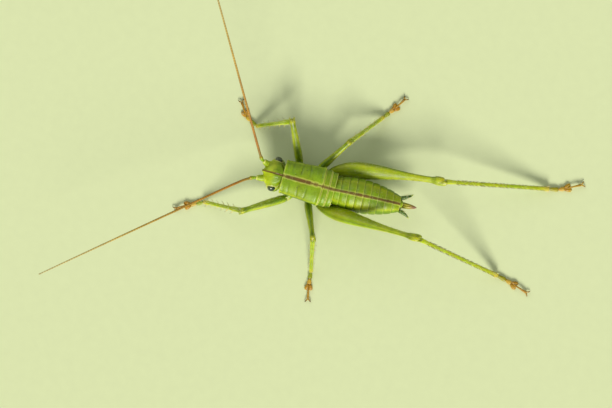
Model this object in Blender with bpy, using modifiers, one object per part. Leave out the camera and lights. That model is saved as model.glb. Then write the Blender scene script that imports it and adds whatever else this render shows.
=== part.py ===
"""A young female bush-cricket, a still life-size model on a flat surface.

The animal faces +X, its left is +Y and +Z is up. Sizes are written in millimetres and become metres where
a mesh or a place is made. The body pieces hang on the empty "body", rolled a little to the right, the hind
body on "hind_body", which swings a little to the right, and every leg is built from lengths and angles.
"""

import math

import bmesh
import bpy
from mathutils import Euler, Matrix, Vector

MM = 0.001
GAP = 0.04  # between neighbouring pieces
ORIGIN_SHIFT = (1.53, 2.26)  # puts the middle of the whole animal's box over the origin
BODY_ROLL = 3.0  # degrees, left side up
BODY_AXIS_HEIGHT = 3.3
HIND_BODY_AT = -1.9  # where the abdomen meets the thorax
HIND_BODY_SWING = 4.0  # degrees, to the right

# Side view and width of the body: place along X, half width, underside and back.
THORAX = ((4.22, 1.5, 1.95, 5.0), (3.6, 1.8, 1.5, 5.15), (2.6, 2.1, 1.15, 5.3), (1.2, 2.15, 1.0, 5.4),
          (-0.2, 2.05, 0.95, 5.4), (-1.2, 1.8, 1.0, 5.4), (-1.86, 1.55, 1.2, 5.3))
ABDOMEN = ((0.0, 1.65, 1.25, 5.35), (-1.6, 2.0, 1.1, 5.5), (-3.2, 2.16, 1.05, 5.45), (-5.0, 2.0, 1.15, 5.2),
           (-6.7, 1.66, 1.4, 4.7), (-7.7, 1.34, 1.8, 4.3), (-8.6, 0.95, 2.5, 3.8))
TERGITES = 9
# The head in level slices: height, back, front, half width and roundness of the slice.
HEAD = ((5.74, 4.9, 5.9, 0.5, 2.0), (5.52, 4.4, 6.55, 1.15, 1.9), (5.1, 4.28, 6.95, 1.55, 1.7),
        (4.5, 4.26, 6.88, 1.8, 2.0), (3.8, 4.26, 6.7, 1.97, 2.2), (3.1, 4.26, 6.4, 2.05, 2.3),
        (2.5, 4.3, 6.05, 1.85, 2.3), (2.05, 4.4, 5.75, 1.5, 2.2))

EYE_AT, EYE_SIZE = (5.5, 1.72, 4.4), (0.5, 0.48, 0.62)

# Length and thickness of each kind of leg. A limb's radii are given at fractions of its length.
LEG_SIZES = {
    "fore": {
        "coxa": 0.62, "femur": 5.9, "narrow": 0.88,
        "femur_radii": ((0.0, 0.42), (0.08, 0.56), (0.3, 0.6), (0.65, 0.5), (0.86, 0.42), (1.0, 0.46)),
        "tibia": 5.7,
        "tibia_radii": ((0.0, 0.36), (0.12, 0.4), (0.3, 0.28), (0.6, 0.25), (0.92, 0.27), (1.0, 0.28)),
        "toes": (1.05, 0.75, 0.8, 1.15),
    },
    "mid": {
        "coxa": 0.62, "femur": 5.5, "narrow": 0.88,
        "femur_radii": ((0.0, 0.42), (0.08, 0.54), (0.3, 0.55), (0.65, 0.42), (0.86, 0.37), (1.0, 0.44)),
        "tibia": 6.2,
        "tibia_radii": ((0.0, 0.34), (0.12, 0.34), (0.35, 0.29), (0.6, 0.26), (0.92, 0.27), (1.0, 0.28)),
        "toes": (1.0, 0.7, 0.75, 1.2),
    },
    "hind": {
        "coxa": 0.72, "femur": 14.1, "narrow": 0.74,
        "femur_radii": ((0.0, 0.5), (0.07, 0.76), (0.16, 1.03), (0.27, 1.12), (0.4, 0.98), (0.54, 0.74),
                        (0.68, 0.52), (0.82, 0.41), (0.91, 0.42), (0.96, 0.58), (1.0, 0.56)),
        "tibia": 14.2,
        "tibia_radii": ((0.0, 0.36), (0.05, 0.34), (0.12, 0.27), (0.5, 0.25), (0.9, 0.28), (1.0, 0.34)),
        "toes": (1.35, 0.8, 0.85, 1.45),
    },
}
FEMUR_BOW = {"fore": 0.12, "mid": 0.12, "hind": 0.6}
ANKLE_HEIGHT = 0.52

# How each leg stands: socket in the body, hip, then headings and the femur's rise and lean, in degrees.
LEGS = {
    "fore_left": {"socket": (2.75, 0.9, 2.15), "hip": (3.35, 2.4, 1.95), "femur": (32.0, 13.0), "lean": 0.0,
                  "tibia": 2.7, "toes": (25.6, 26.0, 27.0, 34.3)},
    "fore_right": {"socket": (2.65, -0.85, 2.0), "hip": (2.85, -2.1, 1.55), "femur": (-64.5, 25.0), "lean": 0.0,
                   "tibia": 20.6, "toes": (-20.0, -38.0, -50.0, -57.0)},
    "mid_left": {"socket": (0.75, 0.9, 2.05), "hip": (0.67, 2.2, 1.9), "femur": (113.4, 35.0), "lean": 0.0,
                 "tibia": 102.8, "toes": (97.0, 97.0, 99.0, 102.7)},
    "mid_right": {"socket": (0.65, -0.85, 1.95), "hip": (0.48, -1.95, 1.65), "femur": (-123.0, 19.7), "lean": 0.0,
                  "tibia": -127.5, "toes": (-127.0, -127.0, -125.0, -121.0)},
    "hind_left": {"socket": (-0.9, 0.8, 2.2), "hip": (-0.75, 2.15, 2.1), "femur": (176.6, 27.6), "lean": 30.0,
                  "tibia": 170.9, "toes": (168.0, 165.0, 164.4, 163.6)},
    "hind_right": {"socket": (-1.0, -0.8, 2.0), "hip": (-1.1, -2.1, 1.75), "femur": (-169.2, 10.6),
                   "lean": -65.0, "tibia": -168.2, "toes": (-168.0, -157.0, -152.0, -151.0)},
}

# The feelers: where the scape starts and how it points, then how the flagellum swings out and rises.
FEELERS = {
    "left": {"base": (6.42, 0.82, 4.75), "scape": (13.0, 14.0), "flagellum": (41.0, 12.0), "swing": 0.8},
    "right": {"base": (6.42, -0.82, 4.75), "scape": (-18.0, 46.0), "flagellum": (-59.0, 31.0), "swing": 0.3},
}
SCAPE_LENGTH, FLAGELLUM_LENGTH = 1.3, 29.0
SIDES = {"left": 1, "right": -1}


def clear_scene():
    for thing in list(bpy.data.objects):
        bpy.data.objects.remove(thing, do_unlink=True)


def new_collection(name):
    made = bpy.data.collections.new(name)
    bpy.context.scene.collection.children.link(made)
    return made


clear_scene()
CRICKET = new_collection("bush_cricket")
HELPERS = new_collection("helpers")


def finish(name, colour, roughness):
    """A plain material; the colour is sRGB 0-255."""
    made = bpy.data.materials.new(name)
    made.use_nodes = True
    shader = made.node_tree.nodes["Principled BSDF"]
    shader.inputs["Base Color"].default_value = [(c / 255) ** 2.2 for c in colour] + [1.0]
    shader.inputs["Roughness"].default_value = roughness
    shader.inputs["Metallic"].default_value = 0.0
    return made


GREEN = finish("green_cuticle", (128, 168, 24), 0.4)
DARK_GREEN = finish("dark_green_cuticle", (70, 110, 22), 0.4)
LEG_GREEN = finish("leg_green_cuticle", (158, 184, 30), 0.4)
FOOT_BROWN = finish("foot_orange_brown", (184, 122, 42), 0.45)
FEELER_BROWN = finish("feeler_amber", (168, 112, 24), 0.45)
EYE_DARK = finish("eye_blue_black", (24, 38, 40), 0.15)
JAW_BROWN = finish("jaw_red_brown", (110, 50, 26), 0.35)
PALP_PALE = finish("palp_pale_green", (206, 214, 130), 0.45)
TAIL_BROWN = finish("ovipositor_brown", (150, 130, 40), 0.35)


def empty(name, parent=None, location=(0, 0, 0), rotation=(0, 0, 0)):
    made = bpy.data.objects.new(name, None)
    made.location = Vector(location) * MM
    made.rotation_euler = [math.radians(a) for a in rotation]
    made.parent = parent
    CRICKET.objects.link(made)
    return made


def adopt(thing, parent, location=(0, 0, 0), heading=0.0, rise=0.0, lean=0.0):
    """Places a piece on its parent: its +X along the heading and the rise, rolled by the lean."""
    thing.parent = parent
    thing.location = Vector(location) * MM
    turned = (math.radians(lean), -math.radians(rise), math.radians(heading))
    thing.rotation_euler = Euler(turned, "XYZ")
    return thing


def new_object(name, mesh, material, collection=CRICKET):
    made = bpy.data.objects.new(name, mesh)
    mesh.materials.clear()
    mesh.materials.append(material)
    mesh.shade_smooth()
    mesh.set_sharp_from_angle(angle=math.radians(50))
    collection.objects.link(made)
    return made


def direction(heading, rise):
    h, r = math.radians(heading), math.radians(rise)
    return Vector((math.cos(r) * math.cos(h), math.cos(r) * math.sin(h), math.sin(r)))


def along(stations, x):
    """The values between stations (place, value, value ...), on smooth curves through them."""
    rows = sorted(stations)
    x = min(max(x, rows[0][0]), rows[-1][0])
    i = max(k for k in range(len(rows) - 1) if rows[k][0] <= x)
    x0, x1 = rows[i][0], rows[i + 1][0]
    t = (x - x0) / (x1 - x0)

    def slope(k, column):
        low, high = rows[max(k - 1, 0)], rows[min(k + 1, len(rows) - 1)]
        return (high[column] - low[column]) / (high[0] - low[0]) * (x1 - x0)

    found = []
    for column in range(1, len(rows[0])):
        a, b = rows[i][column], rows[i + 1][column]
        ta, tb = slope(i, column), slope(i + 1, column)
        found.append(a + t * ta + t * t * (3 * (b - a) - 2 * ta - tb) + t ** 3 * (2 * (a - b) + ta + tb))
    return found


def tube(name, points, radii, material, resolution=2):
    """A round bar through points, with its own radius at each, as a closed mesh."""
    curve = bpy.data.curves.new(name + "_path", "CURVE")
    curve.dimensions = "3D"
    curve.bevel_depth = MM
    curve.bevel_resolution = resolution
    curve.use_fill_caps = True
    spline = curve.splines.new("POLY")
    spline.points.add(len(points) - 1)
    for knot, point, radius in zip(spline.points, points, radii):
        knot.co = (*(Vector(point) * MM), 1.0)
        knot.radius = radius
    path = bpy.data.objects.new(name + "_path", curve)
    HELPERS.objects.link(path)
    graph = bpy.context.evaluated_depsgraph_get()
    mesh = bpy.data.meshes.new_from_object(path.evaluated_get(graph))
    bpy.data.objects.remove(path)
    shape = bmesh.new()
    shape.from_mesh(mesh)
    bmesh.ops.remove_doubles(shape, verts=shape.verts, dist=0.0005 * MM)
    bmesh.ops.recalc_face_normals(shape, faces=shape.faces)
    shape.to_mesh(mesh)
    shape.free()
    return new_object(name, mesh, material)


def loft(name, rings, material):
    """A skin over closed rings with equally many points, and a flat end at the first and the last."""
    shape = bmesh.new()
    loops = [[shape.verts.new(Vector(point) * MM) for point in ring] for ring in rings]
    count = len(rings[0])
    for near, far in zip(loops, loops[1:]):
        for k in range(count):
            shape.faces.new((near[k], near[(k + 1) % count], far[(k + 1) % count], far[k]))
    shape.faces.new(list(reversed(loops[0])))
    shape.faces.new(loops[-1])
    bmesh.ops.recalc_face_normals(shape, faces=shape.faces)
    mesh = bpy.data.meshes.new(name)
    shape.to_mesh(mesh)
    shape.free()
    return new_object(name, mesh, material)


def rounded(angle, roundness):
    """A point of the unit oval; roundness 2 is an ellipse, and more is squarer."""
    c, s = math.cos(angle), math.sin(angle)
    power = 2.0 / roundness
    return math.copysign(abs(c) ** power, c), math.copysign(abs(s) ** power, s)


def upright_ring(x, half_width, low, high, roundness=2.2, count=16):
    """A section of the body across X."""
    ring = []
    for k in range(count):
        a, b = rounded(math.tau * k / count, roundness)
        ring.append((x, half_width * a, (low + high) / 2 + (high - low) / 2 * b))
    return ring


def level_ring(z, back, front, half_width, roundness, count=16):
    ring = []
    for k in range(count):
        a, b = rounded(math.tau * k / count, roundness)
        ring.append(((back + front) / 2 + (front - back) / 2 * a, half_width * b, z))
    return ring


def slice_off(thing, point, normal):
    """Cuts away what lies beyond a plane, given in the parent's frame, and closes the cut."""
    turn = thing.rotation_euler.to_matrix().to_4x4()
    into = (Matrix.Translation(thing.location) @ turn).inverted()
    shape = bmesh.new()
    shape.from_mesh(thing.data)
    bmesh.ops.bisect_plane(
        shape,
        geom=shape.verts[:] + shape.edges[:] + shape.faces[:],
        dist=0.0001 * MM,
        plane_co=into @ (Vector(point) * MM),
        plane_no=into.to_3x3() @ Vector(normal),
        clear_outer=True,
    )
    rim = [edge for edge in shape.edges if edge.is_boundary]
    bmesh.ops.holes_fill(shape, edges=rim, sides=0)
    bmesh.ops.recalc_face_normals(shape, faces=shape.faces)
    shape.to_mesh(thing.data)
    shape.free()


def boolean(thing, operation, other):
    change = thing.modifiers.new(operation.lower(), "BOOLEAN")
    change.operation = operation
    change.solver = "EXACT"
    change.object = other


def give_way(thing, *keepers):
    """Cuts a piece back by the gap wherever a neighbour needs the room."""
    for keeper in keepers:
        graph = bpy.context.evaluated_depsgraph_get()
        mesh = bpy.data.meshes.new_from_object(keeper.evaluated_get(graph))
        cutter = bpy.data.objects.new(f"room_for_{keeper.name}_in_{thing.name}", mesh)
        HELPERS.objects.link(cutter)
        cutter.matrix_world = keeper.matrix_world
        grow = cutter.modifiers.new("grow", "DISPLACE")
        grow.strength = GAP * MM
        grow.mid_level = 0.0
        hide(cutter)
        boolean(thing, "DIFFERENCE", cutter)


def hide(thing):
    thing.hide_render = True
    thing.display_type = "WIRE"


def join(thing, *others):
    """Fuses helpers, made in the piece's own frame, into it; they stay hidden."""
    for other in others:
        other.parent = thing
        HELPERS.objects.link(other)
        CRICKET.objects.unlink(other)
        hide(other)
        boolean(thing, "UNION", other)


def saddle(name, front, back, arcs, widths, crown, lobe, hem, thickness, material, columns=8, rows=6):
    """A plate bent over the back: crown heights and half widths run from front to back.

    Its front and rear margins bulge backwards by `arcs` in the middle. The lobes hang at the sides,
    lowest at the fraction `lobe` of the length, at the height `hem`.
    """
    shape = bmesh.new()
    grid = []
    for i in range(columns + 1):
        f = i / columns
        x = front + (back - front) * f
        half_width = widths[0] + (widths[1] - widths[0]) * f
        top = crown[0] + (crown[1] - crown[0]) * f
        shoulder = top - 1.35
        reach = (f - lobe) / max(lobe, 1 - lobe)
        low = hem + (shoulder - hem) * 0.7 * reach * reach
        line = []
        for j in range(-rows, rows + 1):
            a = abs(j) / rows
            if a < 0.62:
                across, up = rounded(math.pi / 2 * (1 - a / 0.62), 2.5)
                y, z = half_width * across, shoulder + (top - shoulder) * up
            else:
                down = (a - 0.62) / 0.38
                y, z = half_width * (1 - 0.08 * down * down), shoulder + (low - shoulder) * down
            bulge = (arcs[0] * (1 - f) + arcs[1] * f) * (1 - a * a)
            line.append(shape.verts.new(Vector((x - bulge, math.copysign(y, j), z)) * MM))
        grid.append(line)
    for near, far in zip(grid, grid[1:]):
        for k in range(2 * rows):
            shape.faces.new((near[k], near[k + 1], far[k + 1], far[k]))
    bmesh.ops.recalc_face_normals(shape, faces=shape.faces)
    if sum(face.normal.z for face in shape.faces) < 0:
        bmesh.ops.reverse_faces(shape, faces=shape.faces)
    mesh = bpy.data.meshes.new(name)
    shape.to_mesh(mesh)
    shape.free()
    made = new_object(name, mesh, material)
    shell = made.modifiers.new("thickness", "SOLIDIFY")
    shell.thickness = thickness * MM
    shell.offset = -1.0
    return made


def build_thorax(body):
    rings = [upright_ring(*station, roundness=2.3) for station in THORAX]
    return adopt(loft("thorax", rings, DARK_GREEN), body)


def build_plates(body):
    """The pronotum's saddle and the two plates behind it, whose lobes are the wing buds."""
    pronotum = saddle("pronotum", 4.4, -0.15, (-0.1, 0.45), (2.15, 2.5), (5.75, 5.95), 0.5, 2.65, 0.35, GREEN)
    mesonotum = saddle("mesonotum", -0.2, -1.05, (0.45, 0.35), (2.38, 2.32), (5.74, 5.7), 0.85, 3.3, 0.35,
                       GREEN, 3, 5)
    metanotum = saddle("metanotum", -1.1, -1.95, (0.35, 0.2), (2.3, 2.15), (5.7, 5.66), 0.85, 3.5, 0.35,
                       GREEN, 3, 5)
    return [adopt(plate, body) for plate in (pronotum, mesonotum, metanotum)]


def build_abdomen(hind_body):
    """Overlapping rings, each a little wider at its rear rim than where the next one comes out."""
    front, end = ABDOMEN[0][0], ABDOMEN[-1][0]
    rings = []
    for k in range(TERGITES):
        for share, swell in ((0.0, 0.97), (0.9, 1.02)):
            x = front + (end - front) * (k + share) / TERGITES
            half_width, low, high = along(ABDOMEN, x)
            middle, half_height = (low + high) / 2, (high - low) / 2 * swell
            ring = upright_ring(x, half_width * swell, middle - half_height, middle + half_height, 2.1)
            rings.append(ring)
    half_width, low, high = along(ABDOMEN, end)
    rings.append(upright_ring(end, half_width * 0.8, low + 0.15, high - 0.2, 2.0))
    return adopt(loft("abdomen", rings, DARK_GREEN), hind_body)


def build_tail(hind_body):
    """The ovipositor, a short keeled blade, and the two cerci beside it."""
    end = ABDOMEN[-1][0]
    rings = [upright_ring(x, half_width, low, high, 2.0, 10)
             for x, half_width, low, high in ((-7.5, 0.5, 1.62, 2.6), (-8.7, 0.44, 1.8, 2.75),
                                              (-9.7, 0.34, 2.1, 2.85), (-10.4, 0.2, 2.4, 2.85),
                                              (-10.75, 0.08, 2.66, 2.84))]
    blade = adopt(loft("ovipositor", rings, TAIL_BROWN), hind_body)
    cerci = []
    for side, sign in SIDES.items():
        base = Vector((end + 0.1, sign * 0.78, 3.1))
        points = [base + direction(180 - sign * (10 + 16 * f), 4 - 12 * f) * 1.75 * f
                  for f in (0.0, 0.3, 0.6, 0.85, 1.0)]
        cerci.append(adopt(tube(f"cercus_{side}", points, (0.24, 0.25, 0.2, 0.12, 0.05), DARK_GREEN, 1),
                           hind_body))
    return blade, cerci


def build_head(body):
    rings = [level_ring(*station) for station in HEAD]
    return adopt(loft("head", rings, GREEN), body)


def build_eyes(body):
    eyes = []
    for side, sign in SIDES.items():
        shape = bmesh.new()
        bmesh.ops.create_uvsphere(shape, u_segments=12, v_segments=8, radius=MM)
        mesh = bpy.data.meshes.new(f"eye_{side}")
        shape.to_mesh(mesh)
        shape.free()
        mesh.transform(Matrix.Diagonal((*EYE_SIZE, 1.0)))
        eye = new_object(f"eye_{side}", mesh, EYE_DARK)
        eyes.append(adopt(eye, body, (EYE_AT[0], sign * EYE_AT[1], EYE_AT[2]), rise=-12.0))
    return eyes


def build_mouth(body):
    """The labrum in front, the two mandibles behind it and a palp curling back on each side."""
    labrum = loft("labrum", [level_ring(z, front - 0.5, front, half_width, 2.6, 12) for z, front, half_width
                             in ((2.75, 6.1, 0.75), (2.3, 5.95, 1.0), (1.8, 5.7, 0.9), (1.3, 5.4, 0.7),
                                 (1.08, 5.25, 0.4))], GREEN)
    jaws = [adopt(labrum, body)]
    for side, sign in SIDES.items():
        rings = [[(x, y + sign * 0.62, z) for x, y, z in level_ring(height, 4.3, front, half_width, 2.4, 10)]
                 for height, front, half_width in ((2.26, 5.3, 0.58), (1.9, 5.3, 0.6), (1.5, 5.1, 0.52),
                                                   (1.22, 4.85, 0.3))]
        jaws.append(adopt(loft(f"mandible_{side}", rings, JAW_BROWN), body))
        curl = ((4.55, 0.75, 1.0), (4.05, 1.25, 0.95), (3.6, 1.55, 1.0), (3.3, 1.6, 0.9), (2.9, 1.15, 0.55),
                (2.6, 0.95, 0.45))
        points = [(x, sign * y, z) for x, y, z in curl]
        palp = tube(f"palp_{side}", points, (0.2, 0.24, 0.22, 0.2, 0.25, 0.16), PALP_PALE, 1)
        adopt(palp, body)
    return jaws


def build_feeler(body, side, pose):
    """A thick scape and a long thread that swings out to its own heading over its first millimetres."""
    start = Vector(pose["base"])
    tip = start + direction(*pose["scape"]) * SCAPE_LENGTH
    scape = tube(f"scape_{side}", [start.lerp(tip, f) for f in (-0.15, 0.25, 0.6, 0.88, 1.0)],
                 (0.3, 0.41, 0.38, 0.3, 0.26), GREEN)
    steps = 22
    point = tip + direction(*pose["scape"]) * GAP
    points = [point]
    for k in range(steps):
        stretch = FLAGELLUM_LENGTH * ((k + 1) ** 1.5 - k ** 1.5) / steps ** 1.5
        gone = FLAGELLUM_LENGTH * ((k + 0.5) / steps) ** 1.5
        left_over = math.exp(-gone / pose["swing"])
        heading, rise = (end + (first - end) * left_over
                         for first, end in zip(pose["scape"], pose["flagellum"]))
        point = point + direction(heading, rise - 0.25 * gone) * stretch
        points.append(point)
    radii = [0.26 - 0.06 * k / steps for k in range(steps + 1)]
    thread = tube(f"flagellum_{side}", points, radii, FEELER_BROWN, 1)
    return adopt(scape, body), adopt(thread, body)


def bar(name, length, radii, material, narrow=1.0, bow=0.0, past=(0.0, 0.0)):
    """A limb along +X. It bows up by `bow`, is narrower across Y, and runs past both joints a little."""
    points = [Vector((-past[0], 0, 0))]
    sizes = [radii[0][1] * 0.8]
    for f, radius in radii:
        points.append(Vector((length * f, 0, bow * math.sin(math.pi * f ** 0.6))))
        sizes.append(radius)
    points.append(Vector((length + past[1], 0, 0)))
    sizes.append(radii[-1][1] * 0.8)
    made = tube(name, points, sizes, material)
    made.data.transform(Matrix.Scale(narrow, 4, (0, 1, 0)))
    return made


def build_foot(name, lengths, headings, ankle):
    """Four toes on the ground, the third broad and two-lobed, and two claws at the end."""
    swells = ((0.2, 0.27), (0.21, 0.27), (0.22, 0.44), (0.17, 0.2))
    heights = (0.25, 0.22, 0.22, 0.3)
    point = Vector((ankle.x, ankle.y, 0.34))
    points, radii = [point - direction(headings[0], 0) * 0.3], [0.22]
    for heading, length, (thin, thick), height in zip(headings, lengths, swells, heights):
        way = direction(heading, 0) * length
        for f, radius in ((0.12, thin), (0.62, thick), (0.9, thick * 0.85)):
            spot = point + way * f
            points.append(Vector((spot.x, spot.y, height)))
            radii.append(radius)
        point = point + way
    points.append(Vector((point.x, point.y, 0.3)))
    radii.append(0.14)
    foot = tube(name, points, radii, FOOT_BROWN)
    foot.data.transform(Matrix.Scale(0.8, 4, (0, 0, 1)))
    slice_off(foot, (0, 0, 0), (0, 0, -1))
    on = direction(headings[3], 0)
    across = direction(headings[3] + 90, 0)
    hooks = [point + on * reach + across * side + Vector((0, 0, height - point.z))
             for reach, side, height in ((0.36, -0.42, 0.06), (0.24, -0.28, 0.17), (-0.02, -0.08, 0.23),
                                         (-0.02, 0.08, 0.23), (0.24, 0.28, 0.17), (0.36, 0.42, 0.06))]
    claws = tube(f"{name}_claws", hooks, (0.04, 0.08, 0.1, 0.1, 0.08, 0.04), FOOT_BROWN, 1)
    join(foot, claws)
    return foot


def build_leg(animal, name, pose):
    """Coxa, femur, tibia and foot; neighbours meet on the plane that halves the bend between them."""
    kind = name.split("_")[0]
    size = LEG_SIZES[kind]
    socket, hip = Vector(pose["socket"]), Vector(pose["hip"])
    thigh_way = direction(*pose["femur"])
    knee = hip + thigh_way * size["femur"]
    drop = math.degrees(math.asin((knee.z - ANKLE_HEIGHT) / size["tibia"]))
    shin_way = direction(pose["tibia"], -drop)
    ankle = knee + shin_way * size["tibia"]
    coxa_way = (hip - socket).normalized()
    reach = (hip - socket).length
    thick = size["coxa"]

    coxa = bar(f"{name}_coxa", reach, ((0.0, thick), (0.5, thick * 1.05), (1.0, thick * 0.78)), LEG_GREEN,
               past=(0.1, 0.3))
    heading = math.degrees(math.atan2(coxa_way.y, coxa_way.x))
    adopt(coxa, animal, socket, heading, math.degrees(math.asin(coxa_way.z)))
    femur = bar(f"{name}_femur", size["femur"], size["femur_radii"], LEG_GREEN, size["narrow"],
                FEMUR_BOW[kind], past=(0.35, 0.4))
    adopt(femur, animal, hip, *pose["femur"], pose["lean"])
    tibia = bar(f"{name}_tibia", size["tibia"], size["tibia_radii"], LEG_GREEN, past=(0.35, 0.2))
    adopt(tibia, animal, knee, pose["tibia"], -drop)
    foot = adopt(build_foot(f"{name}_foot", size["toes"], pose["toes"], ankle), animal)

    meet(coxa, femur, hip, coxa_way, thigh_way)
    meet(femur, tibia, knee, thigh_way, shin_way)
    meet(tibia, foot, ankle, shin_way, direction(pose["toes"][0], 0))
    return coxa, femur, tibia, foot


def meet(near, far, joint, way_in, way_out):
    """Cuts two limbs to the plane that halves their bend, half a gap to each side of it."""
    normal = (way_in + way_out).normalized()
    slice_off(near, joint - normal * GAP / 2, normal)
    slice_off(far, joint + normal * GAP / 2, -normal)


animal = empty("animal", location=(*ORIGIN_SHIFT, 0.0))
body = empty("body", animal, (0, BODY_AXIS_HEIGHT * math.sin(math.radians(BODY_ROLL)), 0),
             (BODY_ROLL, 0, 0))
hind_body = empty("hind_body", body, (HIND_BODY_AT, 0, 0), (0, 0, HIND_BODY_SWING))

thorax = build_thorax(body)
plates = build_plates(body)
abdomen = build_abdomen(hind_body)
blade, cerci = build_tail(hind_body)
head = build_head(body)
eyes = build_eyes(body)
jaws = build_mouth(body)
feelers = [build_feeler(body, side, pose) for side, pose in FEELERS.items()]
legs = {name: build_leg(animal, name, pose) for name, pose in LEGS.items()}
bpy.context.view_layer.update()

scapes = [scape for scape, _ in feelers]
give_way(thorax, *plates, legs["hind_left"][1], legs["hind_right"][1])
give_way(abdomen, plates[2], thorax, blade, *cerci, legs["hind_left"][1], legs["hind_right"][1])
give_way(head, plates[0], *eyes, *scapes, *jaws)
for coxa, *_ in legs.values():
    give_way(coxa, thorax)
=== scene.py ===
import math

import bpy
import numpy as np
from mathutils import Euler, Matrix, Vector


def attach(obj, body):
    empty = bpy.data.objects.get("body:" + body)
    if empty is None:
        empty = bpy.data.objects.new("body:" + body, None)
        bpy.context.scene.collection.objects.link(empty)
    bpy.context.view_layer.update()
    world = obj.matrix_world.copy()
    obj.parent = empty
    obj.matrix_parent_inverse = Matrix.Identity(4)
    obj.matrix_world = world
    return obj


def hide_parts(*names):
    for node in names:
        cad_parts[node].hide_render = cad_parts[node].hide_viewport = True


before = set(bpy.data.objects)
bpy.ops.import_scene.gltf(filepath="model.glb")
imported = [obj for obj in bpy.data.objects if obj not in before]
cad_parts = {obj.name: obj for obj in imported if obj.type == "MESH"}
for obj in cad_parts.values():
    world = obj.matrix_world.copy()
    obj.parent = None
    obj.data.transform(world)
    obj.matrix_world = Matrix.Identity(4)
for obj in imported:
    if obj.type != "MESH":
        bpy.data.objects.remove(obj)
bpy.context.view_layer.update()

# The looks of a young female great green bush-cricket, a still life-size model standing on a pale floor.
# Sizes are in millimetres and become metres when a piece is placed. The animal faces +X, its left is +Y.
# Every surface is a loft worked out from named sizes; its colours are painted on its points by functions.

MM = 0.001

# ---------------------------------------------------------------- driving dimensions, as in the CAD
GAP = 0.04  # between a feeler's base and its thread
ORIGIN_SHIFT = (1.53, 2.26)  # from the middle of the model's box to the thorax
BODY_ROLL = 3.0  # degrees to the right
BODY_AXIS_HEIGHT = 3.3
HIND_BODY_AT = -1.9  # where thorax and abdomen meet
HIND_BODY_SWING = 4.0  # degrees by which the abdomen swings to one side
SIDES = {"left": 1, "right": -1}

# Side view and width: place along X, half width, underside and back.
THORAX = ((-1.9, 1.55, 1.2, 5.3), (-1.2, 1.8, 1.0, 5.4), (-0.2, 2.05, 0.95, 5.4), (1.2, 2.15, 1.0, 5.4),
          (2.6, 2.1, 1.15, 5.3), (3.6, 1.8, 1.5, 5.15), (4.22, 1.5, 1.95, 5.0))
ABDOMEN = ((-8.6, 0.95, 2.5, 3.8), (-7.7, 1.34, 1.8, 4.3), (-6.7, 1.66, 1.4, 4.7), (-5.0, 2.0, 1.15, 5.2),
           (-3.2, 2.16, 1.05, 5.45), (-1.6, 2.0, 1.1, 5.5), (0.0, 1.65, 1.25, 5.35))
BACK_PLATES = 9
# The head in level slices: height, back, front, half width and roundness of the slice.
HEAD = ((2.05, 4.4, 5.75, 1.5, 2.2), (2.5, 4.3, 6.05, 1.85, 2.3), (3.1, 4.26, 6.4, 2.05, 2.3),
        (3.8, 4.26, 6.7, 1.97, 2.2), (4.5, 4.26, 6.88, 1.8, 2.0), (5.1, 4.28, 6.95, 1.55, 1.8),
        (5.52, 4.4, 6.55, 1.15, 1.9), (5.74, 4.9, 5.9, 0.5, 2.0))
EYE_AT, EYE_SIZE, EYE_RISE = (5.5, 1.72, 4.4), (0.5, 0.48, 0.62), -12.0

LEG_SIZES = {
    "fore": {
        "coxa": 0.62, "femur": 5.9, "narrow": 0.88, "bow": 0.12,
        "femur_radii": ((0.0, 0.42), (0.08, 0.56), (0.3, 0.6), (0.65, 0.5), (0.86, 0.42), (1.0, 0.46)),
        "tibia": 5.7,
        "tibia_radii": ((0.0, 0.36), (0.12, 0.4), (0.3, 0.28), (0.6, 0.25), (0.92, 0.27), (1.0, 0.28)),
        "toes": (1.05, 0.75, 0.8, 1.15),
    },
    "mid": {
        "coxa": 0.62, "femur": 5.5, "narrow": 0.88, "bow": 0.12,
        "femur_radii": ((0.0, 0.42), (0.08, 0.54), (0.3, 0.55), (0.65, 0.42), (0.86, 0.37), (1.0, 0.44)),
        "tibia": 6.2,
        "tibia_radii": ((0.0, 0.34), (0.12, 0.34), (0.35, 0.29), (0.6, 0.26), (0.92, 0.27), (1.0, 0.28)),
        "toes": (1.0, 0.7, 0.75, 1.2),
    },
    "hind": {
        "coxa": 0.72, "femur": 14.1, "narrow": 0.74, "bow": 0.6,
        "femur_radii": ((0.0, 0.5), (0.07, 0.76), (0.16, 1.03), (0.27, 1.12), (0.4, 0.98), (0.54, 0.74),
                        (0.68, 0.52), (0.82, 0.41), (0.91, 0.42), (0.96, 0.58), (1.0, 0.56)),
        "tibia": 14.2,
        "tibia_radii": ((0.0, 0.36), (0.05, 0.34), (0.12, 0.27), (0.5, 0.25), (0.9, 0.28), (1.0, 0.34)),
        "toes": (1.35, 0.8, 0.85, 1.45),
    },
}
ANKLE_HEIGHT = 0.52
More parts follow.
